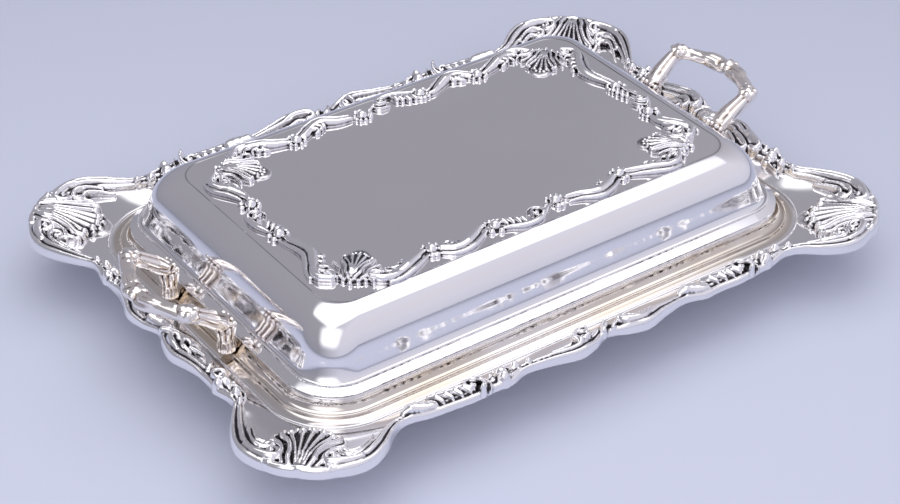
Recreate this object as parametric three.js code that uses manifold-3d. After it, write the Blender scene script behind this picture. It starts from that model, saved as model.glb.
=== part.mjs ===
// A covered, divided vegetable dish in silver plate: a dish with a broad serpentine rim, two cast
// loop handles, a lift-out liner with a partition, and a domed lid that stands on the dish.
// Millimetres, +Z up, +X along the dish. The origin is on the table under the middle of the dish.
import * as THREE from "three";
import { mergeVertices } from "three/addons/utils/BufferGeometryUtils.js";
import Module from "manifold-3d";

const wasm = await Module();
wasm.setup();

// Every rounded rectangle of the dish is the same core rectangle grown by a reach, which is also
// the radius of its corners.
const coreHalfLength = 126.8;
const coreHalfWidth = 75.4;

// Fits and sheet
const seatGap = 0.3; // between pieces that rest on each other
const solderGap = 0.5; // under a casting, whose hollow back lies on the sheet along its edge
const weldGap = 1e-4; // points closer than this are one
const runningGap = 0.4; // round the lid's bezel and inside the well
const sheet = 1.2; // silver-plated copper of the dish and the lid
const linerSheet = 1;

// Heights of the dish
const footRimHeight = 2;
const flangeHeight = 30; // the flange's top face above the table, at the gallery
const flangeRise = 5.6; // from there up to its edge, which is level all round
const ledgeRise = 8.7; // from the flange up to the ledge that carries the lid
const linerStep = 2.6; // how far the liner's ledge lies under the lid's ledge

// Widths of the dish, taken inwards from the gallery's outer edge
const galleryReach = 39.6;
const outerCove = 6.6;
const innerCove = 5.1;
const lidLedge = 6.1;
const linerLedge = 3.4;
const wellTaper = 11; // how far the well draws in from the liner's ledge to its floor
const wellFillet = 5;
const beadSize = 0.9; // half-round lines of the gallery
const rimBow = 0.5; // how far the rim's edge may bow past one facet
const flangeReach = 43; // from the gallery out to the ears at the corners

// Foot rim
const footRimReach = 4;
const footRimWidth = 4;

// Lid
const lidRise = 34; // from the ledge to the flat top
const panelReach = 1.5; // the flat top ends here and the shoulder starts
const panelCorner = 15; // radius of the flat top's corners
const skirtWidth = 6.1; // the sloping brim that overhangs the ledge
const skirtDrop = 3.4;
const lidWaistShare = 0.86; // where the convex shoulder turns into the hollow foot, of the way out
const lidWaistRiseShare = 0.26; // and of the way up from the skirt
const shoulderFullnessShare = 0.62; // how far the shoulder runs level before it turns down
const hollowFullnessShare = 0.55; // how far the hollow foot drops before it turns out
const bezelDepth = 2; // how far the bezel reaches below the ledge
const bezelHeight = 4.4;
const bezelSheet = 1.2;

// Partition of the liner
const partitionSheet = 1.6;
const partitionBead = 3.2;
const partitionDrop = 3; // from the liner's rim down to the partition's bead

// Cast mounts of the rim
const rollWidth = 7.2; // the rounded border along the rim's very edge
const rollHeight = 5.6;
const scrollWidth = 6.6; // the reeds along the roll's inner side
const scrollHeight = 5.8;
const budSize = 5.4;
const shellLength = 34;
const shellHeight = 5.2;
const shellSpread = 74; // degrees between the outer ribs
const shellRibs = 7;
const shellStartShare = 0.08; // where the ribs part, of the shell's length
const shellScallopShare = 0.07; // how far each rib runs past the valleys at the lip
const shellValleyShare = 0.6; // height of a valley between two ribs
const shellSwellShares = [0.22, 0.9]; // the part of a half wave that a shell's length rises by
const shellEdgeShare = 0.15; // height of a shell's edge
const shellShoulderShare = 0.26; // how much shorter the outer ribs are than the middle one
const shellTipShare = 0.93; // how far out on the flange the shells' points lie

// Cast mounts of the lid
const lidScrollWidth = 7.4;
const lidScrollHeight = 4;
const lidBudSize = 4;
const lidShellLength = 23;
const lidShellHeight = 3.6;
const lidShellRibs = 5;
const lidFrameEndInset = 13.7; // from the rim of the flat panel in to the frame, at the ends
const lidFrameSideInset = 10.4; // the same at the long sides
const lidFrameSway = 5; // how far the frame swings in and out
const lidShellInset = 6; // from the frame's corner in to the shell's point

// Cast handles
const handleHalfSpan = 28.5; // from the middle of the dish to a foot
const handleRise = 32; // from a foot's underside up to the corners of the grip
const handleOverhang = 10.4; // from the rim's edge out to the middle of the grip
const gripWidth = 10.6;
const gripHeight = 7.4;
const handleBud = 4.6;
const gripFlutes = 4;
const fluteDepthShare = 0.16;

// Facets
const cornerSteps = 5;
const coveSteps = 3;
const budSides = 6;
const shellRows = 4;
const ringsPerStation = 1.5; // along a handle
const reeds = 2; // rounded ridges side by side on a scroll
const reedValleyShare = 0.78; // height of the valley between two reeds
const reedFallShare = 0.6; // how much lower the square of a scroll's crown is at its edges

const silver = { color: 0xc9c8cc, metalness: 1, roughness: 0.18 };
const castSilver = { color: 0xbdbabb, metalness: 1, roughness: 0.28 };
const warmSilver = { color: 0xbba995, metalness: 1, roughness: 0.3 };

// Levels and reaches that follow from the sizes above
const flangeUnder = flangeHeight - sheet;
const floorUnder = footRimHeight + seatGap;
const floorTop = floorUnder + sheet;
const ledgeTop = flangeHeight + ledgeRise;
const coveFoot = flangeHeight + beadSize;
const innerCoveFoot = coveFoot + 2 * beadSize; // top of the ring that the handles' feet stand on
const linerLedgeTop = ledgeTop - linerStep;
const middleRing = galleryReach - outerCove;
const seatReach = middleRing - innerCove;
const ledgeInner = seatReach - lidLedge;
const wellReach = ledgeInner - linerLedge;
const wellFoot = wellReach - wellTaper;
const lidFoot = ledgeTop + seatGap;
const lidTop = lidFoot + lidRise;
const skirtTop = lidFoot + skirtDrop + sheet / 2;
const lidSideReach = seatReach - skirtWidth;

// A place on the rim is a way and a reach. The way runs over a quarter of the dish: 0 at the middle
// of a long side, 1 and 2 at the two ends of the corner, 3 at the middle of a short side.
const cornerWayShares = [1, 2];
const lastWayShare = 3;

// The rim's outline: ways, and shares of the flange's reach.
const rimShares = [
  [0, 0.407],
  [0.085, 0.51],
  [0.166, 0.565],
  [0.29, 0.477],
  [0.41, 0.42],
  [0.49, 0.49],
  [0.57, 0.48],
  [0.67, 0.495],
  [0.77, 0.47],
  [0.87, 0.442],
  [0.96, 0.385],
  [1.054, 0.49],
  [1.132, 0.69],
  [1.198, 0.845],
  [1.26, 0.935],
  [1.34, 0.98],
  [1.5, 1],
  [1.66, 1],
  [1.75, 0.94],
  [1.809, 0.85],
  [1.868, 0.72],
  [1.935, 0.57],
  [2.03, 0.41],
  [2.12, 0.395],
  [2.23, 0.44],
  [2.34, 0.425],
  [2.47, 0.435],
  [2.58, 0.485],
  [2.71, 0.55],
  [2.87, 0.5],
  [3, 0.41],
];

// The roll's section: insets from the edge and rises, as shares of its width and its height.
const rollSectionShares = [
  [0.03, 0],
  [0.08, 0.64],
  [0.38, 1],
  [0.8, 0.66],
  [1, 0],
];

// How the roll swells and narrows: ways and shares of its width.
const rollSwellShares = [
  [0, 0.85],
  [0.16, 1],
  [0.39, 0.55],
  [0.52, 0.95],
  [0.84, 0.95],
  [0.98, 0.5],
  [1.2, 0.95],
  [1.34, 0.8],
  [1.66, 0.8],
  [1.8, 0.95],
  [2.06, 0.5],
  [2.22, 0.9],
  [2.5, 0.9],
  [2.72, 1],
  [2.9, 0.8],
  [3, 0.7],
];
const rollEndShares = [1.34, 1.66]; // the ways where the roll stops on either side of a corner

// The scrolls of half a side, from its middle to the corner: points as on the outline, and the
// widths and heights as shares of the largest scroll.
const longScrollShares = [
  {
    path: [[0.02, 0.2], [0.07, 0.29], [0.16, 0.375], [0.29, 0.312], [0.42, 0.31]],
    width: [0.5, 0.8, 1, 0.8, 0.5],
    height: [0.7, 0.9, 1, 0.8, 0.7],
  },
  {
    path: [[0.5, 0.35], [0.59, 0.31], [0.7, 0.3], [0.81, 0.26]],
    width: [0.6, 1, 1, 0.6],
    height: [0.7, 0.95, 0.95, 0.7],
  },
  {
    path: [[0.9, 0.255], [0.95, 0.265], [1.02, 0.33], [1.12, 0.51], [1.22, 0.71], [1.36, 0.825]],
    width: [0.55, 0.5, 0.6, 0.75, 1, 0.6],
    height: [0.7, 0.6, 0.7, 0.8, 1, 0.8],
  },
];
const longBudShares = [
  { at: [0, 0.2], size: 0.85 },
  { at: [0.458, 0.29], size: 1 },
  { at: [0.458, 0.4], size: 0.6 },
  { at: [0.86, 0.26], size: 1 },
  { at: [0.86, 0.37], size: 0.6 },
];
const shortScrollShares = [
  {
    path: [[2.975, 0.235], [2.87, 0.31], [2.72, 0.36], [2.57, 0.315], [2.47, 0.315]],
    width: [0.5, 0.8, 1, 0.8, 0.5],
    height: [0.7, 0.9, 1, 0.8, 0.7],
  },
  {
    path: [[2.38, 0.28], [2.28, 0.267], [2.19, 0.27]],
    width: [0.6, 0.9, 0.6],
    height: [0.7, 0.9, 0.7],
  },
  {
    path: [[2.1, 0.28], [2.01, 0.31], [1.93, 0.445], [1.85, 0.6], [1.76, 0.76], [1.64, 0.83]],
    width: [0.5, 0.5, 0.6, 0.8, 1, 0.6],
    height: [0.7, 0.6, 0.8, 0.95, 1, 0.8],
  },
];
const shortBudShares = [
  { at: [3, 0.2], size: 0.85 },
  { at: [2.42, 0.27], size: 0.95 },
  { at: [2.145, 0.26], size: 0.95 },
];

// The frame on the lid: shares of the frame's half length, and of its sway.
const lidLongScrollShares = [
  {
    path: [[0, 0.95], [0.07, 1], [0.131, 0.3], [0.18, -0.4]],
    width: [0.95, 1, 0.75, 0.6],
    height: [0.9, 1, 0.8, 0.7],
  },
  {
    path: [[0.205, -0.5], [0.28, 0.4], [0.355, 1.05], [0.43, 0.5], [0.515, -0.4]],
    width: [0.5, 0.75, 1, 0.75, 0.6],
    height: [0.7, 0.8, 1, 0.8, 0.7],
  },
  {
    path: [[0.54, -0.6], [0.62, 0], [0.7, 0.9], [0.77, 1.3], [0.83, 0.9], [0.865, 0.3]],
    width: [0.5, 0.55, 0.75, 0.9, 0.9, 0.7],
    height: [0.6, 0.6, 0.8, 0.9, 0.9, 0.8],
  },
];
const lidLongBudShares = [
  { at: [0.192, -0.3], size: 1 },
  { at: [0.528, -0.3], size: 1 },
];
const lidShortScrollShares = [
  {
    path: [[0.02, -0.2], [0.1, 0.7], [0.2, 0.9], [0.31, 0]],
    width: [0.6, 0.85, 0.9, 0.6],
    height: [0.8, 0.9, 1, 0.8],
  },
  {
    path: [[0.37, -0.3], [0.5, -0.5], [0.61, 0.3], [0.7, 1.05], [0.79, 1.1], [0.86, 0.5]],
    width: [0.5, 0.5, 0.7, 0.85, 0.9, 0.7],
    height: [0.7, 0.6, 0.8, 0.9, 0.9, 0.8],
  },
];
const lidShortBudShares = [
  { at: [0, -0.2], size: 0.9 },
  { at: [0.34, -0.1], size: 1 },
];

// One foot and half the grip of a handle: the reach out of the foot, the way in to the middle and
// the rise, each as a share of its own size, with the section's half width and half height.
const handleStationShares = [
  { at: [0.01, 1, 0], width: 0.4, height: 0.3 },
  { at: [0.01, 1, 0.23], width: 0.6, height: 0.42 },
  { at: [0, 1, 0.43], width: 0.66, height: 0.5 },
  { at: [0.06, 1.01, 0.61], width: 0.5, height: 0.52 },
  { at: [0.24, 1.03, 0.69], width: 0.42, height: 0.46 },
  { at: [0.44, 1.08, 0.85], width: 0.46, height: 0.5 },
  { at: [0.63, 1.07, 0.99], width: 0.5, height: 0.55 },
  { at: [0.8, 0.78, 1.01], width: 0.42, height: 0.42 },
  { at: [0.94, 0.4, 0.98], width: 0.5, height: 0.46 },
  { at: [1, 0, 0.956], width: 0.56, height: 0.5 },
];

// A closed solid of manifold-3d from a three.js geometry, and back.
function toSolid(geometry) {
  const bare = geometry.clone();
  bare.deleteAttribute("normal");
  bare.deleteAttribute("uv");
  const merged = mergeVertices(bare, weldGap);
  const corners = [];
  for (let i = 0; i < merged.index.count; i += 3) {
    const [a, b, c] = [merged.index.getX(i), merged.index.getX(i + 1), merged.index.getX(i + 2)];
    if (a !== b && b !== c && c !== a) corners.push(a, b, c);
  }
  return new wasm.Manifold(
    new wasm.Mesh({
      numProp: 3,
      vertProperties: merged.getAttribute("position").array,
      triVerts: new Uint32Array(corners),
    }),
  );
}

function toGeometry(solid) {
  const mesh = solid.getMesh();
  const geometry = new THREE.BufferGeometry();
  geometry.setAttribute("position", new THREE.BufferAttribute(mesh.vertProperties, 3));
  geometry.setIndex(new THREE.BufferAttribute(mesh.triVerts, 1));
  const flat = geometry.toNonIndexed();
  flat.computeVertexNormals();
  return flat;
}

function join(geometries) {
  return toGeometry(geometries.map(toSolid).reduce((whole, next) => whole.add(next)));
}

function geometryOf(points, faces) {
  const geometry = new THREE.BufferGeometry();
  geometry.setAttribute("position", new THREE.Float32BufferAttribute(points.flat(), 3));
  geometry.setIndex(faces.flat());
  return geometry;
}

// The core rectangle grown by a reach, counterclockwise from above, with corners of a radius.
function ringAt(reach, height, radius) {
  const ring = [];
  const corners = [[1, 1], [-1, 1], [-1, -1], [1, -1]];
  corners.forEach(([sx, sy], quarter) => {
    for (let i = 0; i <= cornerSteps; i++) {
      const angle = ((quarter + i / cornerSteps) * Math.PI) / 2;
      const x = sx * (coreHalfLength + reach - radius) + radius * Math.cos(angle);
      const y = sy * (coreHalfWidth + reach - radius) + radius * Math.sin(angle);
      ring.push([x, y, height]);
    }
  });
  return ring;
}

// Rings of equal count joined one to the next. A body is capped at both ends, or closes on itself.
function loft(rings, closed) {
  const count = rings[0].length;
  const points = rings.flat();
  const faces = [];
  const steps = closed ? rings.length : rings.length - 1;
  for (let j = 0; j < steps; j++) {
    const low = j * count;
    const high = ((j + 1) % rings.length) * count;
    for (let i = 0; i < count; i++) {
      const next = (i + 1) % count;
      faces.push([low + i, low + next, high + next], [low + i, high + next, high + i]);
    }
  }
  if (!closed) {
    const last = (rings.length - 1) * count;
    const start = points.push(middleOf(rings[0])) - 1;
    const end = points.push(middleOf(rings[rings.length - 1])) - 1;
    for (let i = 0; i < count; i++) {
      const next = (i + 1) % count;
      faces.push([start, next, i], [end, last + i, last + next]);
    }
  }
  return geometryOf(points, faces);
}

function middleOf(ring) {
  return [0, 1, 2].map((axis) => ring.reduce((sum, point) => sum + point[axis], 0) / ring.length);
}

// A section of reach and height, taken counterclockwise, carried round the core rectangle.
function carriedRound(section, closed, radiusAt = (reach) => reach) {
  return loft(section.map(([reach, height]) => ringAt(reach, height, radiusAt(reach))), closed);
}

// Points of a quarter ellipse from one point to another, leaving along the reach or the height.
function quarter(from, to, steps, leaveAlongReach) {
  const points = [];
  for (let i = 0; i <= steps; i++) {
    const angle = (i / steps) * (Math.PI / 2);
    const fast = Math.sin(angle);
    const slow = 1 - Math.cos(angle);
    const [u, v] = leaveAlongReach ? [fast, slow] : [slow, fast];
    points.push([from[0] + (to[0] - from[0]) * u, from[1] + (to[1] - from[1]) * v]);
  }
  return points;
}

function curved(points, steps) {
  const corners = points.map(([x, y]) => new THREE.Vector2(x, y));
  const curve =
    corners.length === 3 ? new THREE.QuadraticBezierCurve(...corners) : new THREE.CubicBezierCurve(...corners);
  return curve.getPoints(steps).map((point) => [point.x, point.y]);
}

// A half-round line that stands on a level, from its outer to its inner edge.
function beadLine(reach, level) {
  return [
    [reach + beadSize, level],
    [reach + beadSize / 2, level + beadSize],
    [reach - beadSize / 2, level + beadSize],
  ];
}

// Inner wall of the well from the liner's ledge to the floor, set in by a distance.
function wellWall(inset, top, floor) {
  const reach = wellReach - inset;
  const foot = wellFoot - inset;
  return [
    [reach, top],
    ...curved(
      [
        [reach - wellTaper / 4, top - (top - floor) / 2],
        [foot + wellFillet / 4, floor],
        [foot - wellFillet, floor],
      ],
      coveSteps,
    ),
  ];
}

function dishBody() {
  const under = wellWall(-sheet, linerLedgeTop - sheet, floorUnder).reverse();
  const section = [
    ...under,
    [ledgeInner - sheet / 2, linerLedgeTop - sheet],
    [ledgeInner + sheet, ledgeTop - sheet],
    [seatReach - sheet, ledgeTop - sheet],
    ...quarter([seatReach - sheet, ledgeTop - 2 * sheet], [middleRing, flangeUnder], coveSteps, false),
    [galleryReach, flangeUnder],
    ...beadLine(galleryReach, flangeHeight),
    ...quarter([galleryReach - beadSize, flangeHeight], [middleRing + beadSize, coveFoot], coveSteps, true),
    [middleRing + beadSize / 2, innerCoveFoot],
    [middleRing - beadSize / 2, innerCoveFoot],
    ...quarter([middleRing - beadSize, coveFoot + beadSize], [seatReach, ledgeTop - beadSize], coveSteps + 1, true),
    [seatReach - beadSize, ledgeTop],
    [ledgeInner, ledgeTop],
    [ledgeInner, linerLedgeTop],
    ...wellWall(0, linerLedgeTop, floorTop),
  ];
  return carriedRound(section, false);
}

// The point of the first quarter of the dish at a way and a reach, and the way and reach of a point.
function pointAt(way, reach) {
  if (way <= cornerWayShares[0]) return [way * coreHalfLength, coreHalfWidth + reach];
  if (way >= cornerWayShares[1]) return [coreHalfLength + reach, (lastWayShare - way) * coreHalfWidth];
  const angle = ((way - cornerWayShares[0]) * Math.PI) / 2;
  return [coreHalfLength + reach * Math.sin(angle), coreHalfWidth + reach * Math.cos(angle)];
}

function placeOf(x, y) {
  const [out, up] = [Math.abs(x) - coreHalfLength, Math.abs(y) - coreHalfWidth];
  if (out <= 0) return [Math.abs(x) / coreHalfLength, up];
  if (up <= 0) return [lastWayShare - Math.abs(y) / coreHalfWidth, out];
  return [cornerWayShares[0] + Math.atan2(out, up) / (Math.PI / 2), Math.hypot(out, up)];
}

const rimCurve = new THREE.CubicInterpolant(rimShares.map(([way]) => way), rimShares.map(([, share]) => share), 1);

function edgeReach(way) {
  return galleryReach + rimCurve.evaluate(way)[0] * flangeReach;
}

// Height of the flange's top face at a point.
function flangeLevel(x, y) {
  const [way, reach] = placeOf(x, y);
  const share = (reach - galleryReach) / (edgeReach(way) - galleryReach);
  return flangeHeight + Math.max(0, share) * flangeRise;
}

// The ways of a quarter's flange: those of the outline's points, and one between two of them on
// the corner and wherever the outline bows past the straight line.
const flangeWays = rimShares.flatMap(([way], i) => {
  const before = i ? rimShares[i - 1][0] : way;
  const middle = (before + way) / 2;
  const bow = edgeReach(middle) - (edgeReach(before) + edgeReach(way)) / 2;
  const inCorner = way > cornerWayShares[0] && before < cornerWayShares[1];
  return i && (inCorner || Math.abs(bow) > rimBow) ? [middle, way] : [way];
});

// The flange rises from the gallery to the serpentine edge.
function flangeRing() {
  const rings = [[], [], [], []];
  [[1, 1], [1, -1], [-1, -1], [-1, 1]].forEach(([sx, sy], quarter) => {
    const ways = quarter % 2 ? [...flangeWays].reverse() : flangeWays;
    ways.slice(0, -1).forEach((way) => {
      const inner = galleryReach - beadSize / 2;
      const outer = edgeReach(way);
      [inner, outer, outer, inner].forEach((reach, k) => {
        const [x, y] = pointAt(way, reach);
        const level = flangeLevel(x, y) - (k > 1 ? sheet : 0);
        rings[k].push([sx * x, sy * y, level]);
      });
    });
  });
  return facingOut(loft(rings, true));
}

function footRim() {
  const inner = footRimReach - footRimWidth / 2;
  const outer = footRimReach + footRimWidth / 2;
  const slope = footRimHeight / 3;
  return carriedRound(
    [
      [inner + slope, 0],
      [outer - slope, 0],
      [outer, footRimHeight],
      [inner, footRimHeight],
    ],
    true,
  );
}

// The liner follows the well's wall at a running gap and hangs from its rim on the liner's ledge.
const linerInset = runningGap + linerSheet;
const linerRimReach = ledgeInner - 2 * runningGap - bezelSheet;
const linerRimTop = linerLedgeTop + seatGap + linerSheet;
const linerFloorTop = floorTop + runningGap + linerSheet;

function linerPan() {
  const under = wellWall(runningGap, linerLedgeTop + seatGap, floorTop + runningGap).reverse();
  const section = [
    ...under,
    [linerRimReach, linerLedgeTop + seatGap],
    [linerRimReach, linerRimTop],
    ...wellWall(linerInset, linerRimTop, linerFloorTop),
  ];
  return carriedRound(section, false);
}

// A straight wall across the liner with a bead along its top, cut to the liner's inside.
function linerPartition() {
  const inside = carriedRound(wellWall(linerInset + seatGap, linerRimTop, linerFloorTop + seatGap).reverse(), false);
  const across = 2 * (coreHalfWidth + wellReach);
  const beadMiddle = linerRimTop - partitionDrop - partitionBead / 2;
  const wall = new THREE.BoxGeometry(partitionSheet, across, beadMiddle);
  wall.translate(0, 0, beadMiddle / 2);
  const bead = new THREE.CylinderGeometry(partitionBead / 2, partitionBead / 2, across, cornerSteps * 2);
  bead.translate(0, 0, beadMiddle);
  return toGeometry(toSolid(wall).add(toSolid(bead)).intersect(toSolid(inside)));
}

// Radius of the lid's corners, which grow from the flat top's down to the skirt's.
function lidCornerAt(reach) {
  const share = Math.max(0, (lidSideReach - reach) / (lidSideReach - panelReach));
  return reach + share * (panelCorner - panelReach);
}

// The lid's outside from its flat top down to the skirt's edge.
function lidOutside(inset) {
  const top = lidTop - inset;
  const waist = [lidSideReach * lidWaistShare - inset, skirtTop + (lidTop - skirtTop) * lidWaistRiseShare];
  const foot = [lidSideReach - inset, skirtTop - inset / 2];
  const turn = [waist[0] + (foot[0] - waist[0]) * hollowFullnessShare, foot[1] + sheet];
  const lean = ((turn[0] - waist[0]) * (top - waist[1])) / (waist[1] - turn[1]) / 2;
  const shoulder = curved(
    [
      [panelReach - inset / 2, top],
      [panelReach + (waist[0] - panelReach) * shoulderFullnessShare, top],
      [waist[0] - lean, (waist[1] + top) / 2],
      waist,
    ],
    cornerSteps,
  );
  const hollow = curved([waist, turn, foot], coveSteps + 1);
  return [...shoulder, ...hollow.slice(1)];
}

function lidDome() {
  const outside = lidOutside(0).reverse();
  const inside = lidOutside(sheet);
  const edge = sheet / 2;
  const section = [
    ...inside,
    [lidSideReach, skirtTop - beadSize - sheet],
    [seatReach - sheet, lidFoot],
    [seatReach, lidFoot],
    [seatReach, lidFoot + edge],
    [lidSideReach + 2 * beadSize, skirtTop - beadSize],
    [lidSideReach + beadSize, skirtTop + beadSize / 2],
    ...outside,
  ];
  return carriedRound(section, false, lidCornerAt);
}

function lidBezel() {
  const outer = ledgeInner - runningGap;
  const inner = outer - bezelSheet;
  const low = ledgeTop - bezelDepth;
  const high = low + bezelHeight;
  return carriedRound([[inner, low], [outer, low], [outer, high], [inner, high]], true);
}

// A reeded band on the level 0: a section of reeds that follows a path, swelling and tapering.
function reededBand(points, widths, heights, { width, height }) {
  const curve = new THREE.CatmullRomCurve3(points.map(([x, y]) => new THREE.Vector3(x, y, 0)));
  const steps = points.length;
  const rings = [];
  for (let i = 0; i <= steps; i++) {
    const share = i / steps;
    const at = curve.getPoint(share);
    const along = curve.getTangent(share);
    const half = (between(widths, share) * width) / 2;
    const tall = between(heights, share) * height;
    const ring = [];
    for (let k = 0; k <= 2 * reeds; k++) {
      const across = k / reeds - 1;
      const crown = Math.sqrt(1 - reedFallShare * across * across) * (k % 2 ? 1 : reedValleyShare);
      const rise = k === 0 || k === 2 * reeds ? 0 : crown * tall;
      ring.push([at.x - along.y * across * half, at.y + along.x * across * half, rise]);
    }
    rings.push(ring);
  }
  return facingOut(loft(rings, false));
}

// An ornament modelled on the level 0, set down on a surface given by its height at each point.
function settled(geometry, levelAt) {
  const position = geometry.getAttribute("position");
  for (let i = 0; i < position.count; i++) {
    position.setZ(i, position.getZ(i) + levelAt(position.getX(i), position.getY(i)));
  }
  return geometry;
}

// A value of a list at a share of its length.
function between(values, share) {
  const place = share * (values.length - 1);
  const low = Math.min(Math.floor(place), values.length - 2);
  return values[low] + (values[low + 1] - values[low]) * (place - low);
}

// A body turned so that its faces point out.
function facingOut(geometry) {
  if (toSolid(geometry).volume() > 0) return geometry;
  const index = geometry.index.array;
  for (let i = 0; i < index.length; i += 3) [index[i], index[i + 1]] = [index[i + 1], index[i]];
  return geometry;
}

// A bud: a low dome with a flat underside.
function bud(at, size) {
  const profile = [[0, 0], [1, 0], [0.84, 0.64], [0, 1]];
  const points = profile.map(([reach, rise]) => new THREE.Vector2(reach * size, rise * size));
  const dome = new THREE.LatheGeometry(points, budSides);
  return dome.rotateX(Math.PI / 2).translate(at[0], at[1], 0);
}

// A fan shell: ribs that spread from its point, highest in the middle of their length.
function fanShell(point, heading, { length, height, ribs }) {
  const spread = THREE.MathUtils.degToRad(shellSpread);
  const rows = shellRows;
  const columns = 2 * ribs;
  const points = [];
  for (let row = 0; row <= rows; row++) {
    for (let column = 0; column <= columns; column++) {
      const angle = heading + (column / columns - 0.5) * spread;
      const crest = column % 2;
      const fan = 1 - shellShoulderShare * Math.pow(Math.abs(column / columns - 0.5) * 2, 2);
      const out = shellStartShare + (1 - shellStartShare) * (row / rows);
      const scallop = row === rows ? shellScallopShare * crest : 0;
      const reach = (out * fan + scallop) * length;
      const swell = Math.sin(Math.PI * between(shellSwellShares, row / rows));
      const edge = row === 0 || row === rows || column === 0 || column === columns;
      const rise = height * (edge ? shellEdgeShare : swell * (crest ? 1 : shellValleyShare));
      points.push([point[0] + reach * Math.cos(angle), point[1] + reach * Math.sin(angle), rise]);
    }
  }
  return closedSheet(points, rows, columns);
}

// A grid of points, closed by an underside on the level 0.
function closedSheet(grid, rows, columns) {
  const at = (row, column) => row * (columns + 1) + column;
  const faces = [];
  for (let row = 0; row < rows; row++) {
    for (let column = 0; column < columns; column++) {
      const [a, b] = [at(row, column), at(row + 1, column)];
      const [c, d] = [at(row + 1, column + 1), at(row, column + 1)];
      faces.push([a, b, c], [a, c, d]);
    }
  }
  const border = [];
  for (let column = 0; column < columns; column++) border.push(at(0, column));
  for (let row = 0; row < rows; row++) border.push(at(row, columns));
  for (let column = columns; column > 0; column--) border.push(at(rows, column));
  for (let row = rows; row > 0; row--) border.push(at(row, 0));
  const foot = border.map((index) => [grid[index][0], grid[index][1], 0]);
  const points = [...grid, ...foot, middleOf(foot)];
  const middle = points.length - 1;
  border.forEach((a, i) => {
    const next = (i + 1) % border.length;
    const [b, low, lowNext] = [border[next], grid.length + i, grid.length + next];
    faces.push([a, b, lowNext], [a, lowNext, low], [low, lowNext, middle]);
  });
  return facingOut(geometryOf(points, faces));
}

const rollCurve = new THREE.CubicInterpolant(
  rollSwellShares.map(([way]) => way),
  rollSwellShares.map(([, share]) => share),
  1,
);

// The border's roll, on the level 0, from the corner at one end of a side to the other.
function borderRoll(place, fromCorner) {
  const inHalf = (way) => (fromCorner ? way >= rollEndShares[1] : way <= rollEndShares[0]);
  const half = rimShares.map(([way]) => way).filter(inHalf);
  const outwards = fromCorner ? [...half].reverse() : half;
  const stops = [...outwards.slice(1).reverse().map((way) => [way, 1]), ...outwards.map((way) => [way, -1])];
  const rings = stops.map(([way, side]) =>
    rollSectionShares.map(([inset, rise]) => {
      const narrowed = (inset * rollWidth * rollCurve.evaluate(way)[0]) / flangeReach;
      const [x, y] = place([way, rimCurve.evaluate(way)[0] - narrowed], side);
      return [x, y, rise * rollHeight];
    }),
  );
  return facingOut(loft(rings, false));
}

// The mount of one side: the scrolls and buds of its half, the same mirrored, and whatever joins
// them. A bud on the middle is its own mirror image. Joined flat, then set down on its surface.
function sideMount(scrolls, buds, place, levelAt, scroll, joining = []) {
  const pieces = [...joining];
  [1, -1].forEach((side) => {
    scrolls.forEach(({ path, width: widths, height: heights }) => {
      const points = path.map((share) => place(share, side));
      pieces.push(reededBand(points, widths, heights, scroll));
    });
    buds.forEach(({ at, size }) => {
      const [here, there] = [place(at, side), place(at, -side)];
      const onMiddle = here.every((value, axis) => value === there[axis]);
      if (side > 0 || !onMiddle) pieces.push(bud(here, size * scroll.bud));
    });
  });
  return settled(join(pieces), levelAt);
}

function rimPlace(turned, sign) {
  return ([way, out], side) => {
    const [x, y] = pointAt(way, galleryReach + out * flangeReach);
    return turned ? [sign * x, side * y] : [side * x, sign * y];
  };
}

const frameHalfLength = coreHalfLength + panelReach - lidFrameEndInset;
const frameHalfWidth = coreHalfWidth + panelReach - lidFrameSideInset;

function lidPlace(turned, sign) {
  return ([along, sway], side) =>
    turned
      ? [sign * (frameHalfLength + sway * lidFrameSway), side * along * frameHalfWidth]
      : [side * along * frameHalfLength, sign * (frameHalfWidth + sway * lidFrameSway)];
}

// Half of the handle's stations, then the other half mirrored across the dish's middle.
function handle(sign) {
  const foot = coreHalfLength + middleRing;
  const reach = coreHalfLength + edgeReach(lastWayShare) + handleOverhang - foot;
  const footLevel = innerCoveFoot + seatGap;
  const placed = handleStationShares.map(({ at: [out, span, rise], width, height }) => ({
    at: new THREE.Vector3(foot + out * reach, span * handleHalfSpan, footLevel + rise * handleRise),
    width,
    height,
  }));
  const mirrored = placed.slice(0, -1).map(({ at, width, height }) => ({
    at: new THREE.Vector3(at.x, -at.y, at.z),
    width,
    height,
  }));
  const stations = [...placed, ...mirrored.reverse()];
  const curve = new THREE.CatmullRomCurve3(stations.map(({ at }) => at), false, "centripetal");
  const steps = Math.round((stations.length - 1) * ringsPerStation);
  const rings = [];
  for (let i = 0; i <= steps; i++) {
    const share = i / steps;
    rings.push(
      handleSection(
        curve.getPoint(share),
        curve.getTangent(share),
        between(stations.map((station) => station.width), share) * gripWidth,
        between(stations.map((station) => station.height), share) * gripHeight,
      ),
    );
  }
  const bar = facingOut(loft(rings, false));
  const whole = join([bar, ...handleBuds(placed)]);
  return sign > 0 ? whole : whole.rotateZ(Math.PI);
}

// A ring of flutes round a point of the handle, level across and square to the way it runs.
function handleSection(at, along, halfWidth, halfHeight) {
  const level = new THREE.Vector3(along.y, -along.x, 0).normalize();
  const up = new THREE.Vector3().crossVectors(level, along).normalize();
  const count = 2 * gripFlutes;
  const ring = [];
  for (let k = 0; k < count; k++) {
    const angle = (k / count) * 2 * Math.PI;
    const flute = k % 2 ? 1 - fluteDepthShare : 1;
    const point = at
      .clone()
      .addScaledVector(level, Math.cos(angle) * halfWidth * flute)
      .addScaledVector(up, Math.sin(angle) * halfHeight * flute);
    ring.push(point.toArray());
  }
  return ring;
}

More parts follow.
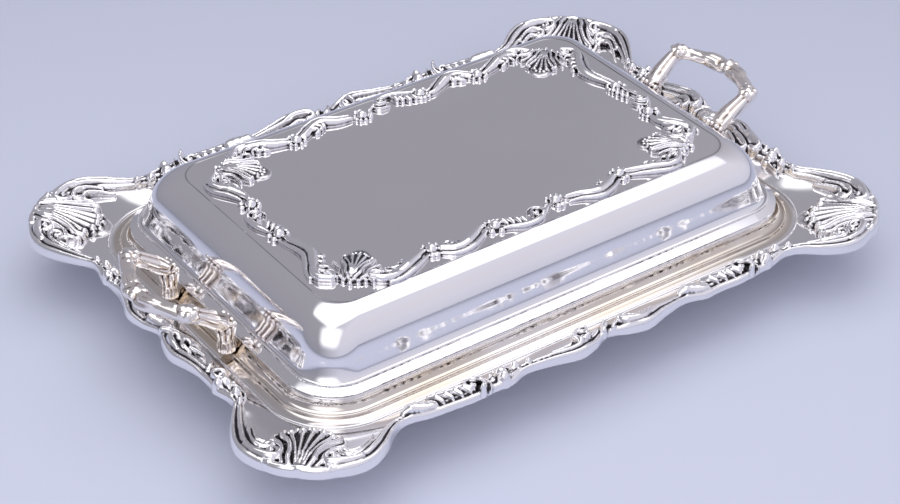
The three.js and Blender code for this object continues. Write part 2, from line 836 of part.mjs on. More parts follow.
// The flower clusters at the corners and the middle of the grip.
function handleBuds(placed) {
  const buds = [];
  [6, 7, 9].forEach((station) => {
    const { at } = placed[station];
    [1, -1].forEach((side) => {
      const ball = new THREE.SphereGeometry(handleBud, budSides, budSides / 2 + 1);
      if (side > 0 || at.y !== 0) buds.push(ball.translate(at.x, side * at.y, at.z));
    });
  });
  return buds;
}

const dish = new THREE.Group();

function add(name, geometry, finish, parent = dish) {
  const mesh = new THREE.Mesh(geometry, new THREE.MeshStandardMaterial(finish));
  mesh.name = name;
  parent.add(mesh);
  return mesh;
}

add("base_dish", join([dishBody(), flangeRing()]), silver);
add("foot_rim", footRim(), silver);

const mountLevelAt = (x, y) => flangeLevel(x, y) + solderGap;
const sides = [
  ["front", false, -1],
  ["back", false, 1],
  ["left", true, -1],
  ["right", true, 1],
];
sides.forEach(([name, turned, sign]) => {
  const [scrolls, buds] = turned ? [shortScrollShares, shortBudShares] : [longScrollShares, longBudShares];
  const place = rimPlace(turned, sign);
  const scroll = { width: scrollWidth, height: scrollHeight, bud: budSize };
  const joining = [borderRoll(place, turned)];
  add(`rim_mount_${name}`, sideMount(scrolls, buds, place, mountLevelAt, scroll, joining), castSilver);
});

const corners = [
  ["front_left", -1, -1],
  ["front_right", 1, -1],
  ["back_left", -1, 1],
  ["back_right", 1, 1],
];
corners.forEach(([name, sx, sy]) => {
  const [x, y] = pointAt(lastWayShare / 2, galleryReach + shellTipShare * flangeReach);
  const heading = Math.atan2(-sy, -sx);
  const fan = { length: shellLength, height: shellHeight, ribs: shellRibs };
  const shell = settled(fanShell([sx * x, sy * y], heading, fan), mountLevelAt);
  add(`rim_corner_${name}`, shell, castSilver);
});

add("handle_left", handle(-1), warmSilver);
add("handle_right", handle(1), warmSilver);

const liner = new THREE.Group();
dish.add(liner);
add("liner_pan", linerPan(), silver, liner);
add("liner_partition", linerPartition(), silver, liner);

const lid = new THREE.Group();
dish.add(lid);
add("lid_dome", lidDome(), silver, lid);
add("lid_bezel", lidBezel(), silver, lid);

const frameLevelAt = () => lidTop + seatGap;
sides.forEach(([name, turned, sign]) => {
  const [scrolls, buds] = turned
    ? [lidShortScrollShares, lidShortBudShares]
    : [lidLongScrollShares, lidLongBudShares];
  const place = lidPlace(turned, sign);
  const scroll = { width: lidScrollWidth, height: lidScrollHeight, bud: lidBudSize };
  add(`lid_mount_${name}`, sideMount(scrolls, buds, place, frameLevelAt, scroll), castSilver, lid);
});
corners.forEach(([name, sx, sy]) => {
  const tip = [sx * (frameHalfLength - lidShellInset), sy * (frameHalfWidth - lidShellInset)];
  const heading = Math.atan2(-sy, -sx);
  const fan = { length: lidShellLength, height: lidShellHeight, ribs: lidShellRibs };
  const shell = settled(fanShell(tip, heading, fan), frameLevelAt);
  add(`lid_corner_${name}`, shell, castSilver, lid);
});

export default dish;
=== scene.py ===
# A covered, divided vegetable dish in silver plate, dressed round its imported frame.
# Blender works in metres. The sizes here are millimetres, and MM turns them into metres.
import math

import bmesh
import bpy
import numpy as np
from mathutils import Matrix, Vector


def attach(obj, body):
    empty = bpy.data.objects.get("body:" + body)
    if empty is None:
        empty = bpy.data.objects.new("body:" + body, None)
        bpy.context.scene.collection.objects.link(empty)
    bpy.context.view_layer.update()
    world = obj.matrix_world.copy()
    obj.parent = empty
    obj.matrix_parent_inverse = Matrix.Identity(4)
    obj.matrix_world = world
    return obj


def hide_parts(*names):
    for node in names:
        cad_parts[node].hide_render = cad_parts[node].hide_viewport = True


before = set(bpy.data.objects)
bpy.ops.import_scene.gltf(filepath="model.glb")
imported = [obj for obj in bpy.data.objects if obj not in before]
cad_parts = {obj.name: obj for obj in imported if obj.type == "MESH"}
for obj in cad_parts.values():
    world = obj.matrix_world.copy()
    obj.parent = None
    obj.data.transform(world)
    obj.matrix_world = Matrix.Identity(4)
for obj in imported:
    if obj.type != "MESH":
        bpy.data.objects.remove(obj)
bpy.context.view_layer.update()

MM = 0.001

# Every rounded rectangle is the core rectangle grown by a reach.
CORE = (126.8, 75.4)
SEAT_GAP = 0.3
RUNNING_GAP = 0.4
SHEET = 1.2
LINER_SHEET = 1.0
BEAD = 0.9

# Heights
FOOT_HEIGHT = 2.0
FLANGE = 30.0
FLANGE_RISE = 5.6
LEDGE = FLANGE + 8.7
LINER_LEDGE = LEDGE - 2.6
FLOOR_UNDER = FOOT_HEIGHT + SEAT_GAP
FLOOR = FLOOR_UNDER + SHEET
LID_FOOT = LEDGE + SEAT_GAP
LID_TOP = LID_FOOT + 34.0

# Reaches
GALLERY = 39.6
MIDDLE_RING = GALLERY - 6.6
SEAT = MIDDLE_RING - 5.1
LEDGE_INNER = SEAT - 6.1
WELL = LEDGE_INNER - 3.4
WELL_TAPER = 11.0
WELL_FILLET = 5.0
FLANGE_REACH = 43.0
PANEL = 1.5
PANEL_CORNER = 15.0
LID_SIDE = SEAT - 6.1
SKIRT_TOP = LID_FOOT + 3.4 + SHEET / 2
WAIST_SHARE = 0.86
WAIST_RISE = 0.26

# The rim's outline: ways, and shares of the flange's reach. A way runs over a quarter of the
# dish, 0 at the middle of a long side, 1 and 2 at the corner's ends, 3 at a short side's middle.
RIM_SHARES = [
    (0, 0.407), (0.085, 0.51), (0.166, 0.565), (0.29, 0.477), (0.41, 0.42), (0.49, 0.49),
    (0.57, 0.48), (0.67, 0.495), (0.77, 0.47), (0.87, 0.442), (0.96, 0.385), (1.054, 0.49),
    (1.132, 0.69), (1.198, 0.845), (1.26, 0.935), (1.34, 0.98), (1.5, 1), (1.66, 1),
    (1.75, 0.94), (1.809, 0.85), (1.868, 0.72), (1.935, 0.57), (2.03, 0.41), (2.12, 0.395),
    (2.23, 0.44), (2.34, 0.425), (2.47, 0.435), (2.58, 0.485), (2.71, 0.55), (2.87, 0.5),
    (3, 0.41),
]
LAST_WAY = 3
CORNER_RUN = 110.0  # length given to a corner's quarter turn, for places along a side

# The middle line of the lid's frame, from the middle of the lid
LID_FRAME = (114.6, 66.5)

# Facets
CORNER_STEPS = 20
SIDE_STEPS = 10
FINE = 12
VOXEL = 0.5
BUD_SIDES = 18
BEAD_SIDES = 24

# The foot rim's reaches, the bezel and the liner's partition
FOOT_RIM = (2.0, 6.0)
BEZEL_DROP = 2.0
BEZEL_HEIGHT = 4.4
PARTITION_HALF = 0.8
PARTITION_BEAD = 1.6
PARTITION_DROP = 3.0

# Castings
SINK = 0.5  # how far a form goes below its sheet's surface
END_TURN = (0.985, 0.9, 0.7, 0.4)  # places on a ridge's rounded end, as shares of its half width
ROSETTE = 3.2
RELAX = (0.55, -0.35, 0.55, -0.35, 0.4)  # pulls on a fused skin towards its neighbours' mean, in turn
FINE_HOLLOW = 0.25
BROAD_HOLLOW = 0.9

LIGHT_POOL_REACH = 3  # metres over which the paper's painted pool of light fades out


# Curves

def lerp_table(table, at):
    """A smooth curve through a table, with tangents that are the mean of the chords' slopes."""
    knots, values = np.array(table, float).T
    slopes = np.diff(values) / np.diff(knots)
    tangents = np.concatenate([[0], (slopes[1:] + slopes[:-1]) / 2, [0]])
    at = np.clip(np.asarray(at, float), knots[0], knots[-1])
    low = np.clip(np.searchsorted(knots, at, side="right") - 1, 0, len(knots) - 2)
    span = knots[low + 1] - knots[low]
    p = (at - knots[low]) / span
    return (
        (2 * p**3 - 3 * p**2 + 1) * values[low]
        + (p**3 - 2 * p**2 + p) * span * tangents[low]
        + (3 * p**2 - 2 * p**3) * values[low + 1]
        + (p**3 - p**2) * span * tangents[low + 1]
    )


def bezier(points, steps):
    points = np.array(points, float)
    degree = len(points) - 1
    rows = []
    for share in np.linspace(0, 1, steps + 1):
        weights = [
            math.comb(degree, k) * share**k * (1 - share) ** (degree - k) for k in range(degree + 1)
        ]
        rows.append(tuple(np.dot(weights, points)))
    return rows


def quarter(start, end, steps, along_reach):
    """A quarter ellipse that leaves along the reach or along the height."""
    rows = []
    for angle in np.linspace(0, math.pi / 2, steps + 1):
        fast, slow = math.sin(angle), 1 - math.cos(angle)
        u, v = (fast, slow) if along_reach else (slow, fast)
        rows.append((start[0] + (end[0] - start[0]) * u, start[1] + (end[1] - start[1]) * v))
    return rows


def bead_line(reach, level, size=BEAD):
    """A half-round line from its outer to its inner edge."""
    angles = np.linspace(0, math.pi, 9)
    return [(reach + size * math.cos(a), level + size * math.sin(a)) for a in angles]


def smooth_path(rows, spacing, whole=math.ceil):
    """A smooth curve through places, in steps no longer than a spacing, or about as long."""
    rows = np.array(rows, float)
    if len(rows) == 2:
        rows = np.array([rows[0], rows.mean(axis=0), rows[1]])
    padded = np.vstack([2 * rows[0] - rows[1], rows, 2 * rows[-1] - rows[-2]])
    out = []
    for k in range(1, len(padded) - 2):
        a, b, c, d = padded[k - 1 : k + 3]
        steps = max(2, int(whole(np.linalg.norm(c - b) / spacing)))
        for share in np.arange(steps) / steps:
            out.append(
                0.5 * (2 * b + (c - a) * share + (2 * a - 5 * b + 4 * c - d) * share**2
                       + (3 * b - a - 3 * c + d) * share**3)
            )
    out.append(rows[-1])
    return np.array(out)


# Places on the rim

def edge_reach(way):
    return GALLERY + lerp_table(RIM_SHARES, way) * FLANGE_REACH


def point_at(way, reach):
    way, reach = np.broadcast_arrays(np.asarray(way, float), np.asarray(reach, float))
    angle = np.clip(way - 1, 0, 1) * math.pi / 2
    x = np.where(way <= 1, way * CORE[0], CORE[0] + reach * np.sin(angle))
    y = np.where(way >= 2, (LAST_WAY - way) * CORE[1], CORE[1] + reach * np.cos(angle))
    return np.stack([x, y], axis=-1)


def place_of(x, y):
    out, up = np.abs(x) - CORE[0], np.abs(y) - CORE[1]
    corner_way = 1 + np.arctan2(out, up) / (math.pi / 2)
    side_way = LAST_WAY - np.abs(y) / CORE[1]
    way = np.where(out <= 0, np.abs(x) / CORE[0], np.where(up <= 0, side_way, corner_way))
    reach = np.where(out <= 0, up, np.where(up <= 0, out, np.hypot(out, up)))
    return way, reach


def flange_level(x, y):
    way, reach = place_of(np.asarray(x, float), np.asarray(y, float))
    share = (reach - GALLERY) / (edge_reach(way) - GALLERY)
    return FLANGE + np.clip(share, 0, 1.2) * FLANGE_RISE


def lid_level(x, y):
    return np.full(np.shape(x), LID_TOP)


# Meshes

def mesh_of(name, points, faces):
    mesh = bpy.data.meshes.new(name)
    mesh.from_pydata((np.asarray(points, float) * MM).tolist(), [], [list(f) for f in faces])
    mesh.validate()
    mesh.update()
    mesh.polygons.foreach_set("use_smooth", [True] * len(mesh.polygons))
    return mesh


def dress(mesh, material, body, slot, *nodes):
    """A piece that rides on a body and stands for CAD nodes."""
    piece = bpy.data.objects.new(mesh.name, mesh)
    bpy.context.scene.collection.objects.link(piece)
    mesh.materials.clear()
    mesh.materials.append(material)
    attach(piece, body)
    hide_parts(*nodes)
    return piece


def ring(reach, radius):
    """The core rectangle grown by a reach, with round corners and points along its straight sides."""
    half = np.array(CORE) + reach - radius
    corners = [(1, 1), (-1, 1), (-1, -1), (1, -1)]
    points = []
    for k, corner in enumerate(corners):
        for angle in (k + np.linspace(0, 1, CORNER_STEPS + 1)) * math.pi / 2:
            points.append(half * corner + radius * np.array([math.cos(angle), math.sin(angle)]))
        turn = (k + 1) * math.pi / 2
        following = half * corners[(k + 1) % 4] + radius * np.array([math.cos(turn), math.sin(turn)])
        start = points[-1]
        for share in np.arange(1, SIDE_STEPS) / SIDE_STEPS:
            points.append(start + (following - start) * share)
    return np.array(points)


def drawn_in(rows, share):
    """A level ring drawn in towards the middle line of the core rectangle."""
    spine = rows.copy()
    spine[:, 0] = np.clip(rows[:, 0], CORE[1] - CORE[0], CORE[0] - CORE[1])
    spine[:, 1] = 0
    return rows + (spine - rows) * share


def loft(rings, closed):
    count = len(rings[0])
    points = np.vstack(rings)
    faces = []
    for j in range(len(rings) if closed else len(rings) - 1):
        low, high = j * count, ((j + 1) % len(rings)) * count
        for i in range(count):
            n = (i + 1) % count
            faces.append((low + i, low + n, high + n, high + i))
    return points, faces


def carried_round(section, closed, radius_at=lambda reach: reach):
    """A section carried round the core. An open one is closed by flat rings at both its ends."""
    rings = []
    for reach, height in section:
        flat = ring(reach, radius_at(reach))
        rings.append(np.column_stack([flat, np.full(len(flat), height)]))
    if not closed:
        shares = (0.02, 0.15, 0.4, 0.7, 1.0)
        first = [drawn_in(rings[0], share) for share in reversed(shares)]
        rings = first + rings + [drawn_in(rings[-1], share) for share in shares]
    return loft(rings, closed)


def welded(mesh):
    work = bmesh.new()
    work.from_mesh(mesh)
    bmesh.ops.remove_doubles(work, verts=work.verts, dist=1e-6)
    work.to_mesh(mesh)
    work.free()
    return mesh


# Sheet pieces

def well_wall(inset, top, floor):
    reach, foot = WELL - inset, WELL - WELL_TAPER - inset
    return bezier(
        [
            (reach, top),
            (reach - WELL_TAPER / 4, (top + floor) / 2),
            (foot + WELL_FILLET / 4, floor),
            (foot - WELL_FILLET, floor),
        ],
        2 * FINE,
    ) + [(foot - WELL_FILLET - BEAD / 2, floor)]


def dish_section():
    under = list(reversed(well_wall(-SHEET, LINER_LEDGE - SHEET, FLOOR_UNDER)))
    cove_foot = FLANGE + BEAD
    return [
        *under,
        (LEDGE_INNER - SHEET / 2, LINER_LEDGE - SHEET),
        (LEDGE_INNER + SHEET, LEDGE - SHEET),
        (SEAT - SHEET, LEDGE - SHEET),
        *quarter((SEAT - SHEET, LEDGE - 2 * SHEET), (MIDDLE_RING, FLANGE - SHEET), FINE, False),
        (GALLERY, FLANGE - SHEET),
        *bead_line(GALLERY, FLANGE),
        *quarter((GALLERY - BEAD - 0.1, FLANGE), (MIDDLE_RING + BEAD, cove_foot), FINE, True),
        *bead_line(MIDDLE_RING, cove_foot + BEAD, BEAD * 0.8),
        *quarter((MIDDLE_RING - BEAD, cove_foot + BEAD), (SEAT, LEDGE - BEAD), FINE, True),
        *quarter((SEAT, LEDGE - BEAD), (SEAT - BEAD, LEDGE), 4, False),
        (SEAT - BEAD - 0.2, LEDGE),
        (LEDGE_INNER + 0.2, LEDGE),
        (LEDGE_INNER, LEDGE - 0.2),
        (LEDGE_INNER, LINER_LEDGE),
        *well_wall(0, LINER_LEDGE, FLOOR),
    ]


def liner_section():
    rim_reach = LEDGE_INNER - 2 * RUNNING_GAP - SHEET
    rim_top = LINER_LEDGE + SEAT_GAP + LINER_SHEET
    inset = RUNNING_GAP + LINER_SHEET
    under = list(reversed(well_wall(RUNNING_GAP, LINER_LEDGE + SEAT_GAP, FLOOR + RUNNING_GAP)))
    return [
        *under,
        (rim_reach - 0.2, LINER_LEDGE + SEAT_GAP),
        (rim_reach, LINER_LEDGE + SEAT_GAP + 0.3),
        (rim_reach, rim_top - 0.3),
        (rim_reach - 0.3, rim_top),
        (WELL - inset + 0.4, rim_top),
        *well_wall(inset, rim_top - 0.2, FLOOR + inset),
    ]


def lid_outside(inset):
    top = LID_TOP - inset
    waist = (LID_SIDE * WAIST_SHARE - inset, SKIRT_TOP + (LID_TOP - SKIRT_TOP) * WAIST_RISE)
    foot = (LID_SIDE - inset, SKIRT_TOP - inset / 2)
    turn = (waist[0] + (foot[0] - waist[0]) * 0.55, foot[1] + SHEET)
    lean = (turn[0] - waist[0]) * (top - waist[1]) / (waist[1] - turn[1]) / 2
    shoulder = bezier(
        [
            (PANEL - inset / 2, top),
            (PANEL + (waist[0] - PANEL) * 0.60, top - 2.6),
            (waist[0] - 0.8 * lean, (waist[1] + top) / 2 + 1.2),
            waist,
        ],
        2 * FINE,
    )
    hollow = bezier([waist, turn, foot], FINE)
    return shoulder + hollow[1:]


def lid_corner(reach):
    """Radius of the lid's corners, which grow from the flat top's down to the skirt's."""
    return reach + max(0.0, (LID_SIDE - reach) / (LID_SIDE - PANEL)) * (PANEL_CORNER - PANEL)


def lid_section():
    """The flat top's edge has a fine crease that rounds over into the shoulder."""
    outside = list(reversed(lid_outside(0)))
    inside = lid_outside(SHEET)
    crease = [
        (PANEL - 0.3, LID_TOP - 0.03), (PANEL - 0.6, LID_TOP - 0.15), (PANEL - 0.9, LID_TOP - 0.2),
        (PANEL - 2.4, LID_TOP - 0.2),
    ]
    return [
        (PANEL - 2.2, LID_TOP - SHEET),
        *inside,
        (LID_SIDE, SKIRT_TOP - BEAD - SHEET),
        (SEAT - SHEET, LID_FOOT),
        (SEAT - 0.3, LID_FOOT),
        (SEAT, LID_FOOT + 0.3),
        (SEAT - 0.1, LID_FOOT + 0.8),
        (LID_SIDE + 2.6 * BEAD, SKIRT_TOP - BEAD - 0.3),
        (LID_SIDE + 2.1 * BEAD, SKIRT_TOP - BEAD),
        *bead_line(LID_SIDE + 1.0 * BEAD, SKIRT_TOP - 0.5 * BEAD),
        *outside,
        *crease,
    ]


def round_body(name, section, closed, material, body, slot, radius_at=lambda reach: reach):
    mesh = welded(mesh_of(f"fine_{name}", *carried_round(section, closed, radius_at)))
    return sharpened(dress(mesh, material, body, slot, name))


def sharpened(piece, degrees=35):
    piece.data.set_sharp_from_angle(angle=math.radians(degrees))
    return piece


# The flange: a fine sheet between the gallery and just inside the serpentine edge

def flange_mesh(name):
    ways = np.concatenate([np.linspace(0, 1, 26)[:-1], np.linspace(1, 2, 40)[:-1], np.linspace(2, 3, 22)])
    shares = np.linspace(0, 1, 8)
    quarters = []
    for k, (sx, sy) in enumerate([(1, 1), (1, -1), (-1, -1), (-1, 1)]):
        order = ways[::-1] if k % 2 else ways
        quarters.extend((way, sx, sy) for way in order[:-1])
    rings = []
    inner = GALLERY - BEAD / 2
    for under in (0, 1):
        for share in shares if not under else shares[::-1]:
            rows = []
            for way, sx, sy in quarters:
                outer = edge_reach(way) - 0.6
                reach = inner + (outer - inner) * share
                x, y = point_at(way, reach)
                level = flange_level(x, y) - (SHEET if under else 0)
                rows.append((sx * x, sy * y, level))
            rings.append(np.array(rows))
    points, faces = loft(rings, True)
    return mesh_of(name, points, [tuple(reversed(f)) for f in faces])


# Ornament

class Track:
    """Runs along a side. A place on it is a distance along and an inset."""

    def __init__(self, points, inward, along):
        self.points, self.inward, self.along = points, inward, along

    def at(self, rows):
        rows = np.asarray(rows, float)
        base = np.stack([np.interp(rows[:, 0], self.along, self.points[:, k]) for k in (0, 1)], 1)
        inward = np.stack([np.interp(rows[:, 0], self.along, self.inward[:, k]) for k in (0, 1)], 1)
        inward /= np.linalg.norm(inward, axis=1)[:, None]
        return base + inward * rows[:, 1:2]


class CornerTrack:
    """Runs in from a corner's point. A place on it is a distance in and one across the diagonal."""

    inward, across = np.array([1, 1]) / math.sqrt(2), np.array([1, -1]) / math.sqrt(2)

    def __init__(self, point):
        self.point = point

    def at(self, rows):
        rows = np.asarray(rows, float)
        return self.point + rows[:, :1] * self.inward + rows[:, 1:2] * self.across


def track_through(points, along):
    """The inward direction is square to the line, evened out over a few points."""
    step = np.gradient(points, axis=0)
    normal = np.stack([-step[:, 1], step[:, 0]], 1)
    normal /= np.linalg.norm(normal, axis=1)[:, None]
    if np.dot(normal[len(normal) // 2], points[len(points) // 2]) > 0:
        normal = -normal
    kernel = np.hanning(15)
    kernel /= kernel.sum()
    padded = np.vstack([np.repeat(normal[:1], 7, 0), normal, np.repeat(normal[-1:], 7, 0)])
    evened = np.stack([np.convolve(padded[:, k], kernel, mode="valid") for k in (0, 1)], 1)
    return Track(points, evened, along)


def rim_track(long_side):
    half = CORE[0] if long_side else CORE[1]
    along = np.arange(-half - CORNER_RUN / 2, half + CORNER_RUN / 2, 0.5)
    size = np.abs(along)
    past = np.clip(size - half, 0, None) / CORNER_RUN
    inside = np.minimum(size, half) / half
    way = inside + past if long_side else LAST_WAY - inside - past
    plan = point_at(way, edge_reach(way))
    side = np.sign(along)
    side[side == 0] = 1
    signs = (side, -1) if long_side else (-1, side)
    return track_through(np.stack([signs[0] * plan[:, 0], signs[1] * plan[:, 1]], 1), along)


def lid_track(table, long_side):
    along = np.arange(table[0][0], table[-1][0] + 0.25, 0.5)
    sway = lerp_table(table, along)
    points = (along, -LID_FRAME[1] - sway) if long_side else (-LID_FRAME[0] - sway, along)
    return track_through(np.stack(points, 1), along)


class Casting:
    """Closed ridges and buds set down on a surface along a track, fused into one body afterwards."""

    def __init__(self, level, track=None, spacing=0.9):
        self.level, self.track, self.spacing = level, track, spacing
        self.points, self.faces, self.count = [], [], 0

    def rings(self, rings):
        points, faces = loft(rings, False)
        count, total = len(rings[0]), len(points)
        faces += [tuple(reversed(range(count))), tuple(range(total - count, total))]
        self.points.append(points)
        self.faces.extend(tuple(i + self.count for i in face) for face in faces)
        self.count += total

    def ridge(self, plan, halves, heights, blunt=(True, True), flat=2.2):
        """A rounded ridge over a path in plan, with widths and heights given along it."""
        plan = np.asarray(plan, float)
        shares = np.linspace(0, 1, len(plan))
        halves = np.interp(shares, np.linspace(0, 1, len(halves)), halves)
        heights = np.interp(shares, np.linspace(0, 1, len(heights)), heights)
        step = np.gradient(plan, axis=0)
        step /= np.maximum(np.linalg.norm(step, axis=1), 1e-9)[:, None]
        rows = list(zip(plan, step, halves, heights))

        def end_of(row, way):
            p, d, w, h = row
            narrowed = [(t, math.sqrt(1 - t * t)) for t in END_TURN]
            return [(p + way * d * w * t, d, w * less, h * less) for t, less in narrowed]

        if blunt[0]:
            rows = end_of(rows[0], -1) + rows
        if blunt[1]:
            rows += end_of(rows[-1], 1)[::-1]
        across = np.linspace(-1, 1, 11)
        crown = (1 - np.abs(across) ** flat) ** (1 / flat)
        rings = []
        for p, d, w, h in rows:
            x = p[0] - d[1] * across * w
            y = p[1] + d[0] * across * w
            level = self.level(x, y)
            top = np.column_stack([x, y, level + crown * h])
            bottom = np.column_stack([x[[-1, 0]], y[[-1, 0]], level[[-1, 0]] - SINK])
            rings.append(np.vstack([top, bottom])[::-1])
        self.rings(rings)

    def bud(self, place, radius, height):
        """A domed bead."""
        angles = np.linspace(0, math.tau, BUD_SIDES, endpoint=False)
        level = float(self.level(np.array(place[0]), np.array(place[1])))
        rings = [(radius, level - SINK)]
        for tilt in np.linspace(0, 0.48 * math.pi, 7):
            rings.append((radius * math.cos(tilt), level + height * math.sin(tilt)))
        self.rings([
            np.column_stack([
                place[0] + reach * np.cos(angles), place[1] + reach * np.sin(angles), np.full(BUD_SIDES, z)
            ])
            for reach, z in rings
        ])

    def fused(self, voxel):
        """One closed skin round everything, evened out."""
        mesh = bpy.data.meshes.new("cast")
        mesh.from_pydata((np.vstack(self.points) * MM).tolist(), [], self.faces)
        holder = bpy.data.objects.new("cast", mesh)
        bpy.context.scene.collection.objects.link(holder)
        skin = holder.modifiers.new("skin", "REMESH")
        skin.mode = "VOXEL"
        skin.voxel_size = voxel * MM
        skin.use_smooth_shade = True
        view = bpy.context.evaluated_depsgraph_get()
        fused = bpy.data.meshes.new_from_object(holder.evaluated_get(view))
        bpy.data.objects.remove(holder)
        bpy.data.meshes.remove(mesh)
        points, edges, loops, totals = arrays_of(fused)
        for pull in RELAX:
            points = points + pull * (neighbour_mean(points, edges) - points)
        bpy.data.meshes.remove(fused)
        return points, np.split(loops, np.cumsum(totals)[:-1])

    # Forms along the track

    def roll(self, start, end, swell):
        """The border's broad reeded roll along the very edge, swelling and narrowing."""
        along = np.arange(start, end + 0.1, 1.0)
        knots, wide, tall = np.array(swell, float).T
        kernel = np.hanning(9) / np.hanning(9).sum()
        wide, tall = (
            np.convolve(np.pad(np.interp(along, knots, size), 4, "edge"), kernel, "valid")
            for size in (wide, tall)
        )
        rings = []
        for s, w, h in zip(along, wide, tall):
            plan = self.track.at([(s, inset * w) for inset, _ in ROLL])
            rise = np.array([height * (h if height > 0 else 1) for _, height in ROLL])
            rings.append(np.column_stack([plan, self.level(plan[:, 0], plan[:, 1]) + rise])[::-1])
        self.rings(rings)

    def reed(self, rows, halves, heights, blunt=(True, True), flat=2.2):
        self.ridge(self.track.at(smooth_path(rows, self.spacing)), halves, heights, blunt, flat)

    def both(self, rows, halves, heights):
        """A reed on either side of a corner's diagonal."""
        for side in (-1, 1):
            self.reed([(inwards, side * across) for inwards, across in rows], halves, heights)

    def hooks(self, rows, side=1, end=0.0):
        """Nested reeds, each of which ends in a curl. Their places run from a side's middle or its end."""
        for path, halves, heights in rows:
            self.reed([(side * (end + s), inset) for s, inset in path], halves, heights)

    def spiral(self, centre, start, turns, radii, halves, heights):
        """A scroll that winds in to its eye. Angles run from along the side towards its inside."""
        shares = np.linspace(0, 1, int(26 * abs(turns)) + 4)
        angles = math.radians(start) + math.tau * turns * shares
        radius = radii[0] + (radii[1] - radii[0]) * shares**0.8
        rows = np.stack([centre[0] + radius * np.cos(angles), centre[1] + radius * np.sin(angles)], 1)
        self.ridge(self.track.at(rows), halves, heights)

    def bead(self, place, radius, height):
        self.bud(self.track.at([place])[0], radius, height)

    def lobes(self, start, pitch, count, lean, insets, size, height):
        """Slanted finger lobes side by side."""
        for k in range(count):
            s = start + k * pitch
            fade = 0.75 + 0.25 * math.sin(math.pi * (k + 0.5) / count)
            rows = [(s, insets[0]), (s + lean * 0.55, (insets[0] + insets[1]) / 2), (s + lean, insets[1])]
            widths = [size * fade, size * 1.15 * fade, size * 0.6]
            self.reed(rows, widths, [height * 0.8, height, height * 0.72])

    def husk(self, start, length, way, inset, size, height):
        """Overlapping leaf tips that grow out of a narrow waist along the roll."""
        for k, share in enumerate((1.0, 0.72, 0.46)):
            end = start + way * length * share
            rows = [(start, inset - 0.6), ((start + end) / 2, inset), (end, inset + 0.5)]
            widths = [size * 0.35, size * (0.95 - 0.06 * k), size * (0.92 - 0.1 * k)]
            heights = [height * 0.75, height + 0.7 * k, height * 0.93 + 0.8 * k]
            self.reed(rows, widths, heights, (False, True), 2.6)

    def volute(self, centre, way, size, height):
        """An e-shaped scroll: an outer band that curls over into a beaded eye, with a fine reed round it."""
        start, turns = (-75, 1.15) if way > 0 else (255, -1.15)
        for ahead, share, radii, widths, heights in (
            (0, 1, (1, 0.24), (0.27, 0.2, 0.15), (1, 0.95, 0.8)),
            (22, 0.44, (1.42, 1.3), (0.08, 0.13, 0.06), (0.5, 0.62, 0.4)),
        ):
            self.spiral(centre, start + ahead * way, turns * share, [size * r for r in radii],
                        [size * w for w in widths], [height * h for h in heights])
        self.bead(centre, size * 0.24, height * 0.9)

    def flower(self, place, way, size, height):
        """A big bead in a calyx, two smaller beads after it and a bulge on the outer wall."""
        s, inset = place
        self.bead((s, inset), size, height)
        self.ringed(place, 1.25 * size, range(30, 350, 40), size * 0.34, height * 0.62)
        self.bead((s + way * 2.35 * size, inset - 0.35 * size), size * 0.74, height * 0.92)
        self.bead((s + way * 3.65 * size, inset - 0.75 * size), size * 0.52, height * 0.82)
        self.bead((s - way * 0.2 * size, max(inset - 1.9 * size, size * 0.75)), size * 0.85, height * 0.95)
        for k in (-1, 1):
            end = (s + way * 2.6 * size, inset + k * 0.9 * size - 0.2 * size)
            self.reed([(s + way * 1.2 * size, inset + k * size), end], [size * 0.25, size * 0.15],
                      [height * 0.6, height * 0.5])

    def ringed(self, place, reach, angles, radius, height):
        """Beads round a place."""
        for angle in angles:
            a = math.radians(angle)
            self.bead((place[0] + reach * math.cos(a), place[1] + reach * math.sin(a)), radius, height)

    def double_reed(self, start, end):
        """A band of a broad and a fine reed."""
        along = np.linspace(start, end, 9)
        self.reed([(s, 0.9) for s in along], [1.4, 2.7, 3.4, 3.2, 2.43], [2.6, 3.3, 4.2, 3.8, 3.2], flat=2.0)
        self.reed([(s, -3.3) for s in along], [0.9, 1.5, 1.8, 1.6, 1.0], [1.6, 2.3, 2.8, 2.5, 1.8], flat=2.0)

    def crest(self, start, way, count):
        """Small hooked lobes on the inner side of a band."""
        for k in range(count):
            s = start + way * 3.6 * k
            rows = [(s, 2.2), (s + way * 2.4, 4.2), (s + way * 1.2, 6.2 - 0.3 * k),
                    (s - way * 0.8, 6.0 - 0.3 * k)]
            self.reed(rows, [1.5, 1.7, 1.4, 1.1], [2.8, 3.3, 2.8, 2.2], flat=2.0)

    def rosette(self, s, inset):
        self.bead((s, inset), ROSETTE, 4.3)
        self.ringed((s, inset), 1.45 * ROSETTE, range(30, 180, 30), 1.3, 2.3)
        for side in (-1.9, 1.9):
            self.bead((s + side, inset - 1.5 * ROSETTE), 1.9, 2.5)

    # Forms in space, for the handles

